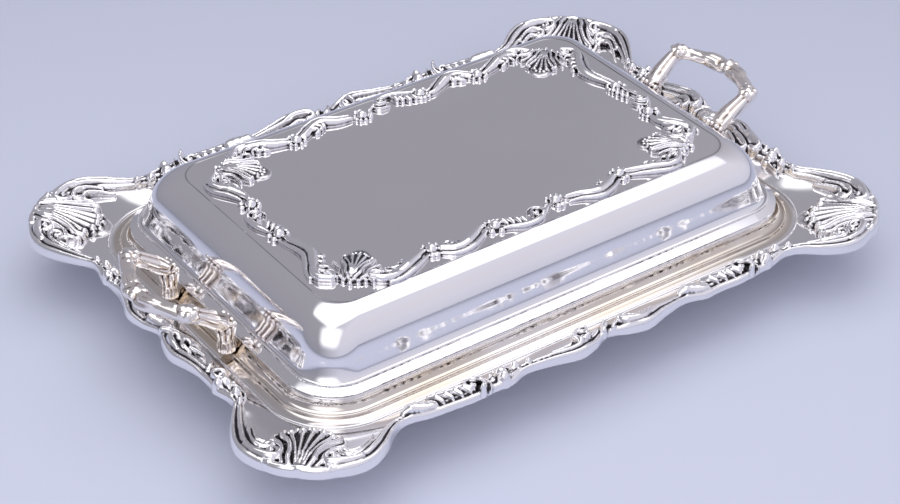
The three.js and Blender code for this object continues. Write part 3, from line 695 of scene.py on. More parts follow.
    def bar(self, rows, wides, talls, flutes=0, depth=0.0, twist=0.0):
        """A fluted bar along a curve in space, level across, with rounded ends."""
        path = smooth_path(rows, 1.0, int)
        shares = np.linspace(0, 1, len(path))
        wide = np.interp(shares, np.linspace(0, 1, len(wides)), wides)
        tall = np.interp(shares, np.linspace(0, 1, len(talls)), talls)
        travel = np.concatenate([[0], np.cumsum(np.linalg.norm(np.diff(path, axis=0), axis=1))])
        for size in (wide, tall):
            left = np.clip(np.minimum(travel, travel[-1] - travel) / size, 0, 1)
            size *= np.sqrt(np.clip(1 - (1 - left) ** 2, 0.04, 1))
        step = np.gradient(path, axis=0)
        step /= np.linalg.norm(step, axis=1)[:, None]
        rings = []
        angles = np.linspace(0, math.tau, 48, endpoint=False)
        for p, d, w, h, share in zip(path, step, wide, tall, shares):
            level = np.array([d[1], -d[0], 0.0])
            if np.linalg.norm(level) < 0.05:
                level = np.array([0.0, -1.0, 0.0])
            level /= np.linalg.norm(level)
            flute = 1 - depth * np.abs(np.sin((angles + twist * share) * flutes / 2)) ** 3
            across, up = np.cos(angles) * w * flute, np.sin(angles) * h * flute
            rings.append(p + np.outer(across, level) + np.outer(up, np.cross(level, d)))
        self.rings(rings)

    def drum(self, centre, profile, sides, flutes=0, depth=0.0):
        """An upright reeded collar, its profile given by reaches and heights."""
        angles = np.linspace(0, math.tau, sides, endpoint=False)
        flute = 1 - depth * np.abs(np.sin(angles * flutes / 2)) ** 3
        self.rings([
            np.column_stack([
                centre[0] + reach * flute * np.cos(angles), centre[1] + reach * flute * np.sin(angles),
                np.full(sides, height),
            ])
            for reach, height in profile
        ])

    def ball(self, centre, radius, squash=1.0):
        tilts = np.linspace(-0.47 * math.pi, 0.47 * math.pi, 10)
        profile = [(radius * math.cos(t), centre[2] + radius * math.sin(t) * squash) for t in tilts]
        self.drum(centre, profile, BUD_SIDES)


def arrays_of(mesh):
    def read(rows, name, size, kind=float):
        values = np.empty(len(rows) * size, kind)
        rows.foreach_get(name, values)
        return values.reshape(-1, size) if size > 1 else values

    return (
        read(mesh.vertices, "co", 3), read(mesh.edges, "vertices", 2, int),
        read(mesh.loops, "vertex_index", 1, int), read(mesh.polygons, "loop_total", 1, int),
    )


def neighbour_mean(values, edges):
    count = len(values)
    a, b = edges[:, 0], edges[:, 1]
    shares = np.bincount(a, minlength=count) + np.bincount(b, minlength=count)
    total = np.stack([
        np.bincount(a, values[b, k], count) + np.bincount(b, values[a, k], count)
        for k in range(values.shape[1])
    ], 1)
    return total / np.maximum(shares, 1)[:, None]


def cast_mesh(name, points, faces, flips, low):
    """A mesh from a fused casting, mirrored if need be, with how deep and low each place lies on it: hollows
    for oxide, low places for painted contact shadow.
    """
    way = -1 if flips[0] * flips[1] < 0 else 1
    mesh = bpy.data.meshes.new(name)
    mesh.from_pydata((points * np.array([*flips, 1])).tolist(), [], [face[::way].tolist() for face in faces])
    mesh.update()
    mesh.polygons.foreach_set("use_smooth", [True] * len(mesh.polygons))
    places, edges, _, _ = arrays_of(mesh)
    normals = np.empty(len(mesh.vertices) * 3)
    mesh.vertices.foreach_get("normal", normals)
    even = places
    depth = np.zeros(len(places))
    for rounds, scale in ((4, FINE_HOLLOW), (12, BROAD_HOLLOW)):
        for _ in range(rounds):
            even = neighbour_mean(even, edges)
        depth += np.einsum("ij,ij->i", even - places, normals.reshape(-1, 3)) / (scale * MM)
    depth = neighbour_mean(depth[:, None], edges)[:, 0]
    # The recess layer darkens hollows as oxide, and places near the sheet below as painted shade.
    layer_of(mesh, "recess", np.clip(depth * 0.62 + low, -1, 1))
    return mesh


def layer_of(mesh, name, values):
    layer = mesh.attributes.new(name, "FLOAT", "POINT")
    layer.data.foreach_set("value", np.asarray(values, np.float32))


# Mounts of the rim

# The roll's profile: insets and heights
ROLL = [
    (0.1, -1.1), (0.1, 0.9), (0.35, 2.9), (0.9, 4.6), (1.8, 5.6), (2.7, 5.6), (3.4, 4.8), (3.8, 4.0),
    (4.3, 5.0), (5.1, 6.5), (6.1, 6.9), (7.1, 6.3), (7.8, 4.9), (8.1, 3.7), (8.6, 4.5), (9.3, 4.9),
    (10.0, 4.3), (10.5, 2.8), (10.8, 0.8), (10.8, -0.5),
]
# Places along a side, and the roll's width and height there
LONG_SWELL = [
    (-170, 0.8, 0.85), (-160, 1, 1), (-142, 0.95, 1), (-131, 0.7, 0.85), (-123, 0.5, 0.65), (-117, 0.75, 0.6),
    (-108, 0.9, 0.58), (-62, 0.95, 0.58), (-54, 0.6, 0.68), (-48, 0.5, 0.68), (-38, 0.65, 0.8),
    (-25, 0.85, 0.95), (-16, 1, 1), (-10, 0.95, 0.7), (2, 0.9, 0.6), (7, 0.95, 0.85), (12, 1, 1), (24, 1, 1),
    (34, 0.85, 0.95), (42, 0.65, 0.8), (49, 0.52, 0.66), (56, 0.75, 0.6), (66, 0.95, 0.58), (111, 0.95, 0.58),
    (119, 0.6, 0.62), (125, 0.5, 0.68), (135, 0.65, 0.85), (145, 0.9, 0.95), (156, 1, 1), (170, 0.8, 0.85),
]
SHORT_SWELL = [
    (-119, 0.8, 0.85), (-106, 1, 1), (-92, 0.95, 1), (-81, 0.7, 0.85), (-72, 0.52, 0.68), (-65, 0.8, 0.6),
    (-42, 0.9, 0.58), (-38, 0.8, 0.8), (-30, 0.85, 0.95), (-18, 1, 1), (-9, 0.95, 0.9), (-5, 0.9, 0.62),
    (4, 0.8, 0.6), (11, 0.6, 0.64), (18, 0.75, 0.85), (28, 0.95, 1), (40, 1, 1), (48, 0.9, 0.68),
    (62, 0.9, 0.58), (69, 0.52, 0.64), (79, 0.65, 0.8), (90, 0.95, 1), (105, 1, 1), (119, 0.8, 0.85),
]
# Nested hooks: a path, and widths and heights along it
CORNER_HOOKS = [
    ([(26, 5), (36, 5.2), (43.2, 6.4), (43.6, 11), (39.6, 12.6), (37.6, 10.2)],
     [2.2, 3, 3.3, 2.7, 2.0], [7.4, 7.8, 8.0, 7.2, 6.2]),
    ([(12, 9.4), (22, 9.8), (30, 10.4), (35.2, 13), (34.4, 16.6), (30.8, 16.8), (29.8, 14.6)],
     [0.9, 1.4, 1.8, 2.0, 1.9, 1.5], [5.0, 6.0, 6.6, 6.2, 5.4, 4.8]),
    ([(7, 10.8), (14, 11.8), (21, 12.8), (25.6, 15.4), (24.8, 18.6), (21.8, 18.4)],
     [0.8, 1.2, 1.5, 1.6, 1.5, 1.2], [3.2, 4.4, 5.0, 5.0, 4.4, 3.8]),
]
PLUME = [
    ([(10.4, 9.8), (7.0, 9.4), (6.8, 6.4), (11, 4.8), (18, 5.0), (28, 5.6)],
     [2.1, 2.7, 3.0, 3.0, 2.6, 1.7], [8.2, 9.0, 9.0, 8.6, 8.0, 7.0]),
    ([(16, 12.6), (12.6, 12.8), (12.2, 10), (15.6, 9.2), (23, 9.6), (32, 9.6)],
     [1.4, 1.7, 1.9, 1.8, 1.5, 1.1], [5.8, 6.4, 6.6, 6.2, 5.6, 4.8]),
    ([(22.4, 14.2), (19.2, 14.8), (18.8, 12.6), (22, 11.6), (29, 11.4), (36, 10.4)],
     [1.1, 1.4, 1.6, 1.5, 1.2, 0.9], [4.6, 5.2, 5.4, 5.0, 4.4, 3.8]),
]
LID_PLUME = [
    ([(-14, -0.2), (-6, -0.4), (0.6, 1.6), (-0.6, 5.2), (-4, 5.2)],
     [1.7, 2.2, 2.0, 1.5, 1.1], [3.6, 4.2, 4.2, 3.8, 3.2]),
    ([(-16, 2.6), (-9.5, 3.6), (-6.4, 6.4), (-9, 8)], [0.9, 1.2, 1.1, 0.8], [2.6, 3.4, 3.2, 2.6]),
    ([(-20, 3.4), (-14.5, 5.4), (-13.6, 8)], [0.7, 1.0, 0.8], [2.2, 3.0, 2.4]),
]


def rim_mount(track, half, reach, swell):
    """A mount's roll, and the three nested hooks that end its long S at each corner."""
    cast = Casting(flange_level, track)
    cast.roll(-reach, reach, swell)
    for side in (-1, 1):
        cast.hooks(CORNER_HOOKS, side, half)
        cast.bead((side * (half + 40), 9.4), 1.9, 8.4)
    return cast


def long_mount():
    cast = rim_mount(rim_track(True), CORE[0], 167, LONG_SWELL)
    for start in (-122, 49):
        cast.husk(start, 15, 1, 5.4, 5.0, 7.0)
    for start in (-105, 69):
        cast.lobes(start, 5.2, 4, 4.2, (12.0, 4.6), 2.3, 8.0)
    for s in (-82, 91.5):
        cast.volute((s, 7.4), 1, 7.0, 8.4)
    for s in (-65, 108):
        cast.flower((s, 7.2), 1, 4.5, 8.8)
    # The pair of volutes at the S-band's broad end, and the leaf between them and the plume
    cast.reed([(-34, 9.4), (-24, 10.6), (-15, 11.8)], [0.9, 1.4, 1.5], [3.6, 4.8, 5.0])
    cast.spiral((-10.5, 8.4), 200, -1.1, (5.8, 1.3), [2.5, 2.1, 1.4], [8.8, 8.6, 7.4])
    cast.spiral((-4.2, 12.6), 190, -0.9, (3.6, 1.2), [1.5, 1.3, 1.0], [6.0, 6.0, 5.2])
    cast.reed([(-2, 1.6), (0.6, 5.2), (1.8, 9.6)], [2.0, 2.8, 1.4], [6.4, 8.0, 6.4])
    cast.reed([(2.8, 1.4), (4.2, 4.2), (4.8, 7.4)], [1.4, 1.8, 1.0], [5.8, 7.0, 5.6])
    cast.hooks(PLUME)
    return cast


def short_mount():
    cast = rim_mount(rim_track(False), CORE[1], 115.5, SHORT_SWELL)
    cast.flower((-57.5, 6.8), -1, 4.1, 8.6)
    cast.flower((56.5, 6.8), 1, 4.1, 8.6)
    # Both plumes hook at their back ends and sweep to the front
    for start in (46, -7):
        for k, (inset, half, height) in enumerate(((4.8, 2.8, 8.6), (9.4, 2.1, 7.4), (12.8, 1.7, 6.0))):
            s = start - 5.4 * k
            path = [(s - 3.8, inset + 4.4), (s - 0.6, inset + 4.4), (s, inset + 1.8), (s - 4, inset + 0.2),
                    (s - 15, inset + 0.2)]
            widths = [half * 0.7, half * 0.9, half, half, half * 0.6]
            cast.reed(path, widths, [height * 0.85, height, height, height, height * 0.85])
    cast.lobes(53.5, -4.0, 3, -2.0, (4.2, 1.4), 1.6, 6.2)
    cast.lobes(-39.5, -4.3, 3, -3.6, (10.6, 4.4), 1.9, 6.6)
    cast.spiral((-50.5, 6.8), 60, -1.1, (4.6, 1.3), [1.7, 1.5, 1.1], [7.2, 7.2, 6.4])
    cast.husk(11, 12, -1, 5.2, 4.8, 7.0)
    cast.reed([(-1.8, 1.6), (-3.0, 5.4), (-3.4, 9.6)], [2.0, 2.7, 1.3], [6.4, 7.8, 6.2])
    return cast


def corner_mount():
    """The front left shell: the bed of its fan, its ribs, its beaded lip and the leaves beside it."""
    point = 1.0 * CornerTrack.inward - point_at(1.5, edge_reach(1.5))
    cast = Casting(flange_level, CornerTrack(point))
    bed = cast.track.at([(1, 0), (12, 0), (24, 0), (31, 0)])
    cast.ridge(bed, [2.5, 6, 9.5, 11], [4, 4.6, 3.4, 2.2], flat=2.6)
    for k in range(-2, 3):
        c = k / 2
        lip = 33.6 - 4.0 * c * c
        rib = [(1, 2.2 * c), (9, 3.4 * c), (18, 5.6 * c), (lip - 2, 9.4 * c)]
        cast.reed(rib, [0.7, 1.0, 1.25, 1.7], [5.4, 7.6, 6.8, 5.2])
        cast.bead((lip, 10.2 * c), 2.5, 5.6)
        if k < 2:
            m = (k + 0.5) / 2
            cast.bead((36.4 - 4.0 * m * m, 10.9 * m), 1.6, 3.9)
    cast.both([(0.5, 4.6), (6, 6.2), (12, 6.6), (20, 9.2), (26, 13.4), (30, 13.8)],
              [1.9, 2.0, 1.9, 1.9, 2.1, 1.8], [6.4, 8.0, 8.2, 7.2, 6.0, 5.0])
    cast.both([(2, 8.2), (7, 10.0), (13, 10.6), (19, 13.2), (22.6, 17), (26, 17.4)],
              [1.4, 1.5, 1.5, 1.5, 1.7, 1.5], [6.0, 6.8, 6.4, 5.8, 5.0, 4.4])
    cast.both([(1.5, 14.6), (4.6, 12.6), (9.5, 13.2), (14, 16)], [1.7, 1.6, 1.5, 1.6], [6.2, 5.8, 5.4, 5.0])
    cast.both([(-0.2, 2), (0.2, 8), (2.2, 14.5), (6.5, 20)], [2.6, 2.8, 2.8, 2.6], [5.6, 5.6, 5.4, 5.2])
    for side in (-1, 1):
        cast.bead((9.6, side * 17.2), 2.5, 5.6)
        cast.bead((16.8, side * 19), 2.0, 4.8)
        cast.ridge(cast.track.at([(25.4, side * 17.2), (28.4, side * 16.6)]), [1.4, 1.5], [3.4, 3.4])
    cast.ridge(cast.track.at([(0.4, -5), (-0.3, 0), (0.4, 5)]), [2.0, 2.4, 2.0], [5.6, 6.4, 5.6])
    return cast


# Mounts of the lid

LID_FRONT_SWAY = [
    (-100, 1.5), (-95, 4.6), (-88, 6.2), (-80, 4.2), (-71, 0), (-63, -2.8), (-57, -0.6), (-50, 4.4),
    (-43, 4.2), (-35, 0.2), (-28, -3.4), (-22, -0.6), (-15, 1.4), (-8, 4.8), (0, 5), (9, 0.5), (15, -1.8),
    (22, -1), (31, 0.8), (40, 5), (48, 3), (56, -1.4), (62, -2.8), (71, 0), (80, 4.2), (88, 6.2),
    (95, 4.6), (100, 1.5),
]
LID_LEFT_SWAY = [
    (-58, 2.5), (-52.5, 5.5), (-46.5, 5), (-40, 1.5), (-32, -2.2), (-24, -2), (-14, 0.6), (-8, 1.4),
    (-2, 2), (6, 4.2), (13, 4.4), (19, 1.5), (24, -1), (31, -2.4), (39, 0.6), (46.5, 5), (52.5, 5.5),
    (58, 2.5),
]


def lid_mount(track, bands, crests, rosettes, end):
    """A side of the lid's frame: bands of reeds, their crests, rosettes and the plumes at the ends."""
    cast = Casting(lid_level, track)
    for band in bands:
        cast.double_reed(*band)
    for row in crests:
        cast.crest(*row)
    for place in rosettes:
        cast.rosette(*place)
    for side in (-1, 1):
        cast.hooks(LID_PLUME, side, end)
        cast.bead((side * (end - 2.6), 2.4), 1.1, 4.4)
    return cast


def lid_long_mount():
    cast = lid_mount(
        lid_track(LID_FRONT_SWAY, True), ((-64.5, -92), (64.5, 92), (-27, -56), (24, 56)),
        ((-54, 1, 3), (50, -1, 3), (-76, -1, 2), (76, 1, 2)),
        ((-60.5, 0.4), (-22.2, 0.6), (17.4, 0.4), (60.5, 0.4)), 99,
    )
    cast.lobes(-18.6, 3.1, 4, 2.8, (4.8, 0.2), 1.5, 3.3)
    cast.reed([(-19, -2.8), (-8, -2.4), (3, -1.6), (11, -0.6)], [1.2, 2.1, 2.1, 1.2], [2.0, 2.8, 2.8, 2.0])
    cast.volute((2.2, 2.0), 1, 4.0, 4.2)
    return cast


def lid_short_mount():
    cast = lid_mount(
        lid_track(LID_LEFT_SWAY, False), ((28, 53), (-12, -50)), ((-34, -1, 3), (40, 1, 2)),
        ((23.6, 0.4), (-8, 0.4)), 57,
    )
    cast.lobes(3.4, -3.0, 4, -2.7, (4.6, 0.2), 1.5, 3.3)
    cast.reed([(-5, -2.6), (4, -2.6), (13, -2.0), (20, -1)], [1.2, 2.1, 2.1, 1.2], [2.0, 2.8, 2.8, 2.0])
    cast.volute((11.6, 1.8), 1, 4.2, 4.2)
    return cast


def lid_corner_mount():
    """The front left shell of the lid: ribs in to a crown of beads, and a fringe at its outer side."""
    cast = Casting(lid_level, CornerTrack(-np.array([LID_FRAME[0] - 6.4, LID_FRAME[1] - 3.6])), 0.7)
    bed = cast.track.at([(1, 0), (9, 0), (17, 0), (21, 0)])
    cast.ridge(bed, [3.0, 4.4, 6.4, 6.8], [2.2, 2.8, 2.2, 1.4], flat=2.6)
    for k in range(-2, 3):
        c = k / 2
        lip = 21.8 - 2.6 * c * c
        rib = [(1.5, 1.6 * c), (7, 1.9 * c), (13, 3.6 * c), (lip - 1.4, 6.4 * c)]
        cast.reed(rib, [0.5, 0.6, 0.75, 0.9], [2.8, 4.0, 3.6, 2.8])
        cast.bead((lip, 6.9 * c), 1.2, 3.0)
        cast.bead((lip + 2.1, 4.4 * c), 0.85, 2.2)
        cast.bead((-0.6 + 1.5 * c * c, 7.4 * c), 1.25, 2.8)
    cast.bead((-2.6, 0), 1.5, 2.6)
    cast.both([(1, 1.6), (5, 3.6), (10, 4.6), (15, 7.4), (18.6, 8.6)],
              [1.1, 1.1, 1.0, 1.0, 0.9], [3.6, 4.2, 4.0, 3.4, 2.6])
    cast.both([(1, 5), (4, 6.8), (8.6, 7.2), (12.6, 10), (14.4, 12)],
              [0.9, 0.9, 0.8, 0.8, 0.8], [3.2, 3.4, 3.2, 2.8, 2.4])
    cast.both([(0.4, 11.6), (2.4, 9.2), (5.4, 9.4), (8, 12)], [0.9, 0.9, 0.8, 0.8], [3, 3, 2.8, 2.4])
    return cast


# Cast handles, the right one

HANDLE_FOOT = (161.0, 28.5)
ARM = [
    (159.8, 28.5, 47.5), (161.5, 28.7, 50.5), (166, 29.2, 53.6), (172, 29.8, 57.8), (177.5, 30.3, 61.6),
    (181.5, 29.6, 64.0),
]
HALF_GRIP = [(181.5, 29.6, 64.0), (185, 25.4, 64.6), (189, 17.0, 64.4), (192.4, 8.5, 63.6), (193.8, 0, 63.2)]


def handle_casting():
    cast = Casting(None)

    def crown(centre, count, turn, reach, rise, radius):
        """Beads round a bigger one."""
        for k in range(count):
            a = math.radians(k * 360 / count + turn)
            cast.ball(centre + np.array([reach * math.cos(a), reach * math.sin(a), rise]), radius)

    for side in (1, -1):
        def bar(rows, *shape, **more):
            cast.bar([(x, side * y, z) for x, y, z in rows], *shape, **more)

        foot = (HANDLE_FOOT[0], side * HANDLE_FOOT[1])
        cast.drum(foot, [(4.0, 33.1), (5.0, 33.9), (5.2, 36), (4.6, 39), (4.4, 41.4)], 60, 12, 0.12)
        cast.drum(foot, [(3.6, 39.8), (4.6, 40.8), (4.9, 43), (5.6, 46), (5.6, 48.6), (4.0, 50.8)], 60, 9, 0.2)
        bar(ARM, [4.4, 5.6, 5.4, 4.4, 4.3, 5.2], [4.0, 4.7, 4.5, 3.8, 3.8, 4.5], 4, 0.1, twist=side * 1.4)
        # A leaf along the arm, with rolled tips at its root
        for shift, lift in ((-3.6, 1.0), (0, 2.6), (3.6, 1.0)):
            rows = [(x - 0.4, y + shift * (1 - 0.5 * k / 4), z + lift + 1.3)
                    for k, (x, y, z) in enumerate(ARM[1:])]
            bar(rows, [1.5, 2.5, 2.0, 1.2], [1.4, 2.2, 1.7, 1.1])
        for k, angle in enumerate((-50, -15, 20, 55)):
            a = math.radians(angle)
            start = (162.2 - 1.5 * math.cos(a), HANDLE_FOOT[1] + 3.4 * math.sin(a), 49.8)
            tip = (159.4 - 1.2 * math.cos(a), HANDLE_FOOT[1] + 7.0 * math.sin(a), 53.4 - 0.6 * abs(k - 1.5))
            curl = (158.2, HANDLE_FOOT[1] + 8.0 * math.sin(a), 51.0)
            bar([start, tip, curl], [1.5, 1.8, 1.0], [1.3, 1.3, 0.9])
        # The knuckle: a ball with beads round it, and beads that run on along the grip
        knuckle = np.array([181.6, side * 29.8, 64.8])
        cast.ball(knuckle, 5.7, 0.74)
        crown(knuckle, 7, 12, 3.7, 1.7, 2.1)
        cast.ball(knuckle + np.array([0, 0, 2.2]), 2.4)
        for along in (0.0, 2.6, 5.0):
            place = (183.6 + 0.62 * along, side * (28.0 - 1.6 * along), 67.2 - 0.1 * along)
            cast.ball(place, 2.4 - 0.2 * along)
        bar(HALF_GRIP, [5.0, 4.2, 4.3, 5.5, 5.9], [4.3, 3.7, 3.7, 4.3, 4.6], 4, 0.1, twist=side * 1.6)
        # Leaves that close on the middle's flower
        for shift in (-2.8, 0.0, 2.8):
            rows = [(187.8 + 0.45 * shift, 20, 66.6), (191.2 + 0.8 * shift, 12.4, 67.0 - 0.12 * abs(shift)),
                    (193.2 + shift, 5.6, 66.7 - 0.2 * abs(shift))]
            bar(rows, [1.0, 2.0, 1.5], [0.9, 1.5, 1.2])
    middle = np.array([193.8, 0.0, 65.4])
    cast.ball(middle, 4.4, 0.75)
    crown(middle, 6, 30, 3.9, 0.1, 2.3)
    cast.ball(middle + np.array([0, 0, 1.9]), 2.0)
    return cast


# Materials: nodes only, with numbers that are the same all over set on the shader itself

def feed(tree, made, inputs):
    """Gives a node's inputs their numbers, or links them to the sockets that drive them."""
    for name, value in inputs.items():
        if isinstance(value, bpy.types.NodeSocket):
            tree.links.new(value, made.inputs[name])
        else:
            made.inputs[name].default_value = value


def node(tree, kind, inputs, output=0, **settings):
    """The output of a new node."""
    made = tree.nodes.new("ShaderNode" + kind)
    for name, value in settings.items():
        setattr(made, name, value)
    feed(tree, made, inputs)
    return made.outputs[output]


def maths(tree, operation, *values):
    return node(tree, "Math", dict(enumerate(values)), operation=operation)


def spread(tree, source, before, after, **settings):
    """A value carried over from one range to another."""
    inputs = dict(zip(("From Min", "From Max", "To Min", "To Max"), (*before, *after)))
    return node(tree, "MapRange", {"Value": source, **inputs}, "Result", **settings)


def ramp(tree, source, stops):
    made = tree.nodes.new("ShaderNodeValToRGB")
    elements = made.color_ramp.elements
    while len(elements) < len(stops):
        elements.new(0.5)
    for element, (place, colour) in zip(elements, stops):
        element.position = place
        element.color = (*colour, 1)
    feed(tree, made, {"Fac": source})
    return made.outputs["Color"]


def noise(tree, scale, detail=3.0):
    place = node(tree, "TexCoord", {}, "Object")
    return node(tree, "TexNoise", {"Scale": scale, "Detail": detail, "Vector": place}, "Fac")


def bumped(tree, source, strength, distance):
    return node(tree, "Bump", {"Strength": strength, "Distance": distance, "Height": source}, "Normal")


def material(name, inputs_of):
    """A material whose shader's inputs come from a function of its node tree."""
    made = bpy.data.materials.new(name)
    made.use_nodes = True
    tree = made.node_tree
    feed(tree, tree.nodes["Principled BSDF"], inputs_of(tree))
    return made


def polished(name, bright, dull, rough, wave, tarnish_and_shade=None):
    """Worn, hand-made plate, tinted where a mesh layer says: tarnished coves on the dish, and painted shade in
    the lid's crease.
    """
    def inputs_of(tree):
        colour = ramp(tree, noise(tree, 9.0), [(0.35, dull), (0.65, bright)])
        if tarnish_and_shade:
            layer, tint, most = tarnish_and_shade
            patches = spread(tree, noise(tree, 16.0, 4.0), (0.35, 0.65), (0.35 * most, most))
            where = node(tree, "Attribute", {}, "Fac", attribute_name=layer)
            inputs = {"Factor": maths(tree, "MULTIPLY", where, patches), "A": colour, "B": (*tint, 1)}
            colour = node(tree, "Mix", inputs, "Result", data_type="RGBA", blend_type="MIX")
        return {
            "Metallic": 1.0,
            "Base Color": colour,
            "Roughness": spread(tree, noise(tree, 40.0, 5.0), (0.3, 0.7), rough),
            "Normal": bumped(tree, noise(tree, 14.0, 1.0), wave, 0.0006),
        }

    return material(name, inputs_of)


def cast_silver(name, bright, middle, dark, rough):
    """Cast ornament: polished on its crowns, blackened where it lies deep, for oxide in its hollows, and
    painted with shadow where it meets the sheet below.
    """
    def inputs_of(tree):
        depth = node(tree, "Attribute", {}, "Fac", attribute_name="recess")
        uneven = maths(tree, "MULTIPLY_ADD", noise(tree, 120.0, 3.0), 0.22, depth)
        return {
            "Metallic": 1.0,
            "Base Color": ramp(tree, uneven, [(0.12, bright), (0.27, middle), (0.50, dark)]),
            "Roughness": spread(tree, uneven, (0.05, 0.6), rough),
            "Normal": bumped(tree, noise(tree, 160.0, 2.0), 0.12, 0.0004),
        }

    return material(name, inputs_of)


SILVER = (0.90, 0.89, 0.90)

# The lid's crease layer takes a dark tint: painted shade along the edge of the flat top.
lid_silver = polished(
    "lid_silver", SILVER, (0.87, 0.86, 0.88), (0.06, 0.11), 0.05, ("crease", (0.16, 0.16, 0.18), 0.9)
)
dish_silver = polished(
    "dish_silver", SILVER, (0.83, 0.82, 0.83), (0.06, 0.12), 0.06, ("warm", (0.50, 0.38, 0.22), 0.62)
)
liner_silver = polished("liner_silver", (0.88, 0.87, 0.86), (0.80, 0.79, 0.77), (0.16, 0.26), 0.2)
ornament_silver = cast_silver(
    "ornament_silver", (0.92, 0.91, 0.92), (0.55, 0.53, 0.55), (0.035, 0.032, 0.036), (0.12, 0.34)
)
handle_silver = cast_silver(
    "handle_silver", (0.93, 0.88, 0.84), (0.60, 0.50, 0.44), (0.05, 0.038, 0.034), (0.13, 0.34)
)


# Pieces

def add_dish():
    """The dish's sheet, with a layer that marks its tarnished coves, and its flange."""
    mesh = welded(mesh_of("fine_base_dish", *carried_round(dish_section(), False)))
    points = arrays_of(mesh)[0] / MM
    reach = place_of(points[:, 0], points[:, 1])[1]
    inside = np.clip((reach - LEDGE_INNER) / 4, 0, 1) * np.clip((GALLERY - 1.2 - reach) / 1.5, 0, 1)
    layer_of(mesh, "warm", inside * np.clip((LEDGE - 0.4 - points[:, 2]) / 2.5, 0, 1))
    sharpened(dress(mesh, dish_silver, "dish", "dish_silver", "base_dish"))
    sharpened(dress(flange_mesh("fine_flange"), dish_silver, "dish", "dish_silver"))


def add_sheets():
    add_dish()
    inner, outer = FOOT_RIM
    slope = FOOT_HEIGHT / 3
    foot = [(inner + slope, 0), (outer - slope, 0), (outer - 0.1, FOOT_HEIGHT * 0.8), (outer, FOOT_HEIGHT),
            (inner, FOOT_HEIGHT), (inner + 0.1, FOOT_HEIGHT * 0.8)]
    round_body("foot_rim", foot, True, dish_silver, "dish", "dish_silver")
    round_body("liner_pan", liner_section(), False, liner_silver, "liner", "liner")
    lid = round_body("lid_dome", lid_section(), False, lid_silver, "lid", "polished_lid", lid_corner)
    # Painted shade: the band where the flat top's edge creases down is marked for the lid's dark tint.
    drops = LID_TOP - arrays_of(lid.data)[0][:, 2] / MM
    layer_of(lid.data, "crease", (drops > 0.02) & (drops < 0.17))
    outer = LEDGE_INNER - RUNNING_GAP
    inner, low = outer - SHEET, LEDGE - BEZEL_DROP
    high = low + BEZEL_HEIGHT
    bezel = [(inner + 0.2, low), (outer - 0.2, low), (outer, low + 0.2), (outer, high - 0.2),
             (outer - 0.2, high), (inner + 0.2, high), (inner, high - 0.2), (inner, low + 0.2)]
    round_body("lid_bezel", bezel, True, lid_silver, "lid", "polished_lid")


def prism(outline, near, far):
    """A closed body that carries an outline from one place to another."""
    count = len(outline)
    faces = [tuple(range(count)), tuple(range(2 * count - 1, count - 1, -1))]
    faces += [(i, i + count, (i + 1) % count + count, (i + 1) % count) for i in range(count)]
    return [near(*place) for place in outline] + [far(*place) for place in outline], faces


def add_partition():
    """The liner's cross wall, whose foot and ends follow the liner's inside, and its round bead."""
    inset = RUNNING_GAP + LINER_SHEET + SEAT_GAP
    floor = FLOOR + inset
    rim = LINER_LEDGE + SEAT_GAP + LINER_SHEET
    top = rim - PARTITION_DROP - PARTITION_BEAD
    reaches, levels = np.array(well_wall(inset, rim, floor))[::-1].T
    levels[0] = floor
    heights = np.concatenate([[floor], np.linspace(floor + 0.4, top, 16)])
    ends = CORE[1] + np.interp(heights, levels, reaches)
    outline = list(zip(-ends, heights)) + list(zip(ends[::-1], heights[::-1]))
    points, faces = prism(outline, lambda y, z: (-PARTITION_HALF, y, z), lambda y, z: (PARTITION_HALF, y, z))
    turns = [-math.tau * k / BEAD_SIDES for k in range(BEAD_SIDES)]
    circle = [(PARTITION_BEAD * math.cos(a), top + PARTITION_BEAD * math.sin(a)) for a in turns]
    more, other = prism(circle, lambda x, z: (x, -ends[-1], z), lambda x, z: (x, ends[-1], z))
    faces += [tuple(i + len(points) for i in face) for face in other]
    mesh = mesh_of("fine_liner_partition", points + more, faces)
    sharpened(dress(mesh, liner_silver, "liner", "liner", "liner_partition"))


def painted_contact_shade(points, level):
    """Painted contact shadow: how close to the sheet below a place lies, but not on the rim's outer wall."""
    x, y, z = points.T
    if level is None:
        return np.clip(1.25 - z / 1.5, 0, 1) * 0.5
    low = np.clip(1.25 - (z - level(x, y)) / 1.5, 0, 1) * 0.5
    if level is flange_level:
        way, reach = place_of(x, y)
        low *= np.clip(edge_reach(way) - reach - 1.2, 0, 1)
    return low


def add_cast(casting, voxel, material, body, slot, *copies):
    """One casting, set down once for each of its nodes, turned or mirrored."""
    points, faces = casting.fused(voxel * VOXEL)
    # Painted shadow where the casting meets the sheet below.
    low = painted_contact_shade(points / MM, casting.level)
    for node_name, flips in copies:
        mesh = cast_mesh(f"fine_{node_name}", points, faces, flips, low)
        dress(mesh, material, body, slot, node_name)


def turned(name, here, there):
    """The second copy is turned by half a turn."""
    return (f"{name}_{here}", (1, 1)), (f"{name}_{there}", (-1, -1))


def add_castings():
    for part, body, long_side, short_side, corner, voxel in (
        ("rim", "dish", long_mount, short_mount, corner_mount, 1.0),
        ("lid", "lid", lid_long_mount, lid_short_mount, lid_corner_mount, 0.8),
    ):
        looks = (voxel, ornament_silver, body, "cast_ornament")
        add_cast(long_side(), *looks, *turned(f"{part}_mount", "front", "back"))
        add_cast(short_side(), *looks, *turned(f"{part}_mount", "left", "right"))
        add_cast(corner(), *looks, *[
            (f"{part}_corner_{end}_{side}", (x, y))
            for end, y in (("front", 1), ("back", -1)) for side, x in (("left", 1), ("right", -1))
        ])
    add_cast(handle_casting(), 0.9, handle_silver, "dish", "handles", *turned("handle", "right", "left"))


# Studio

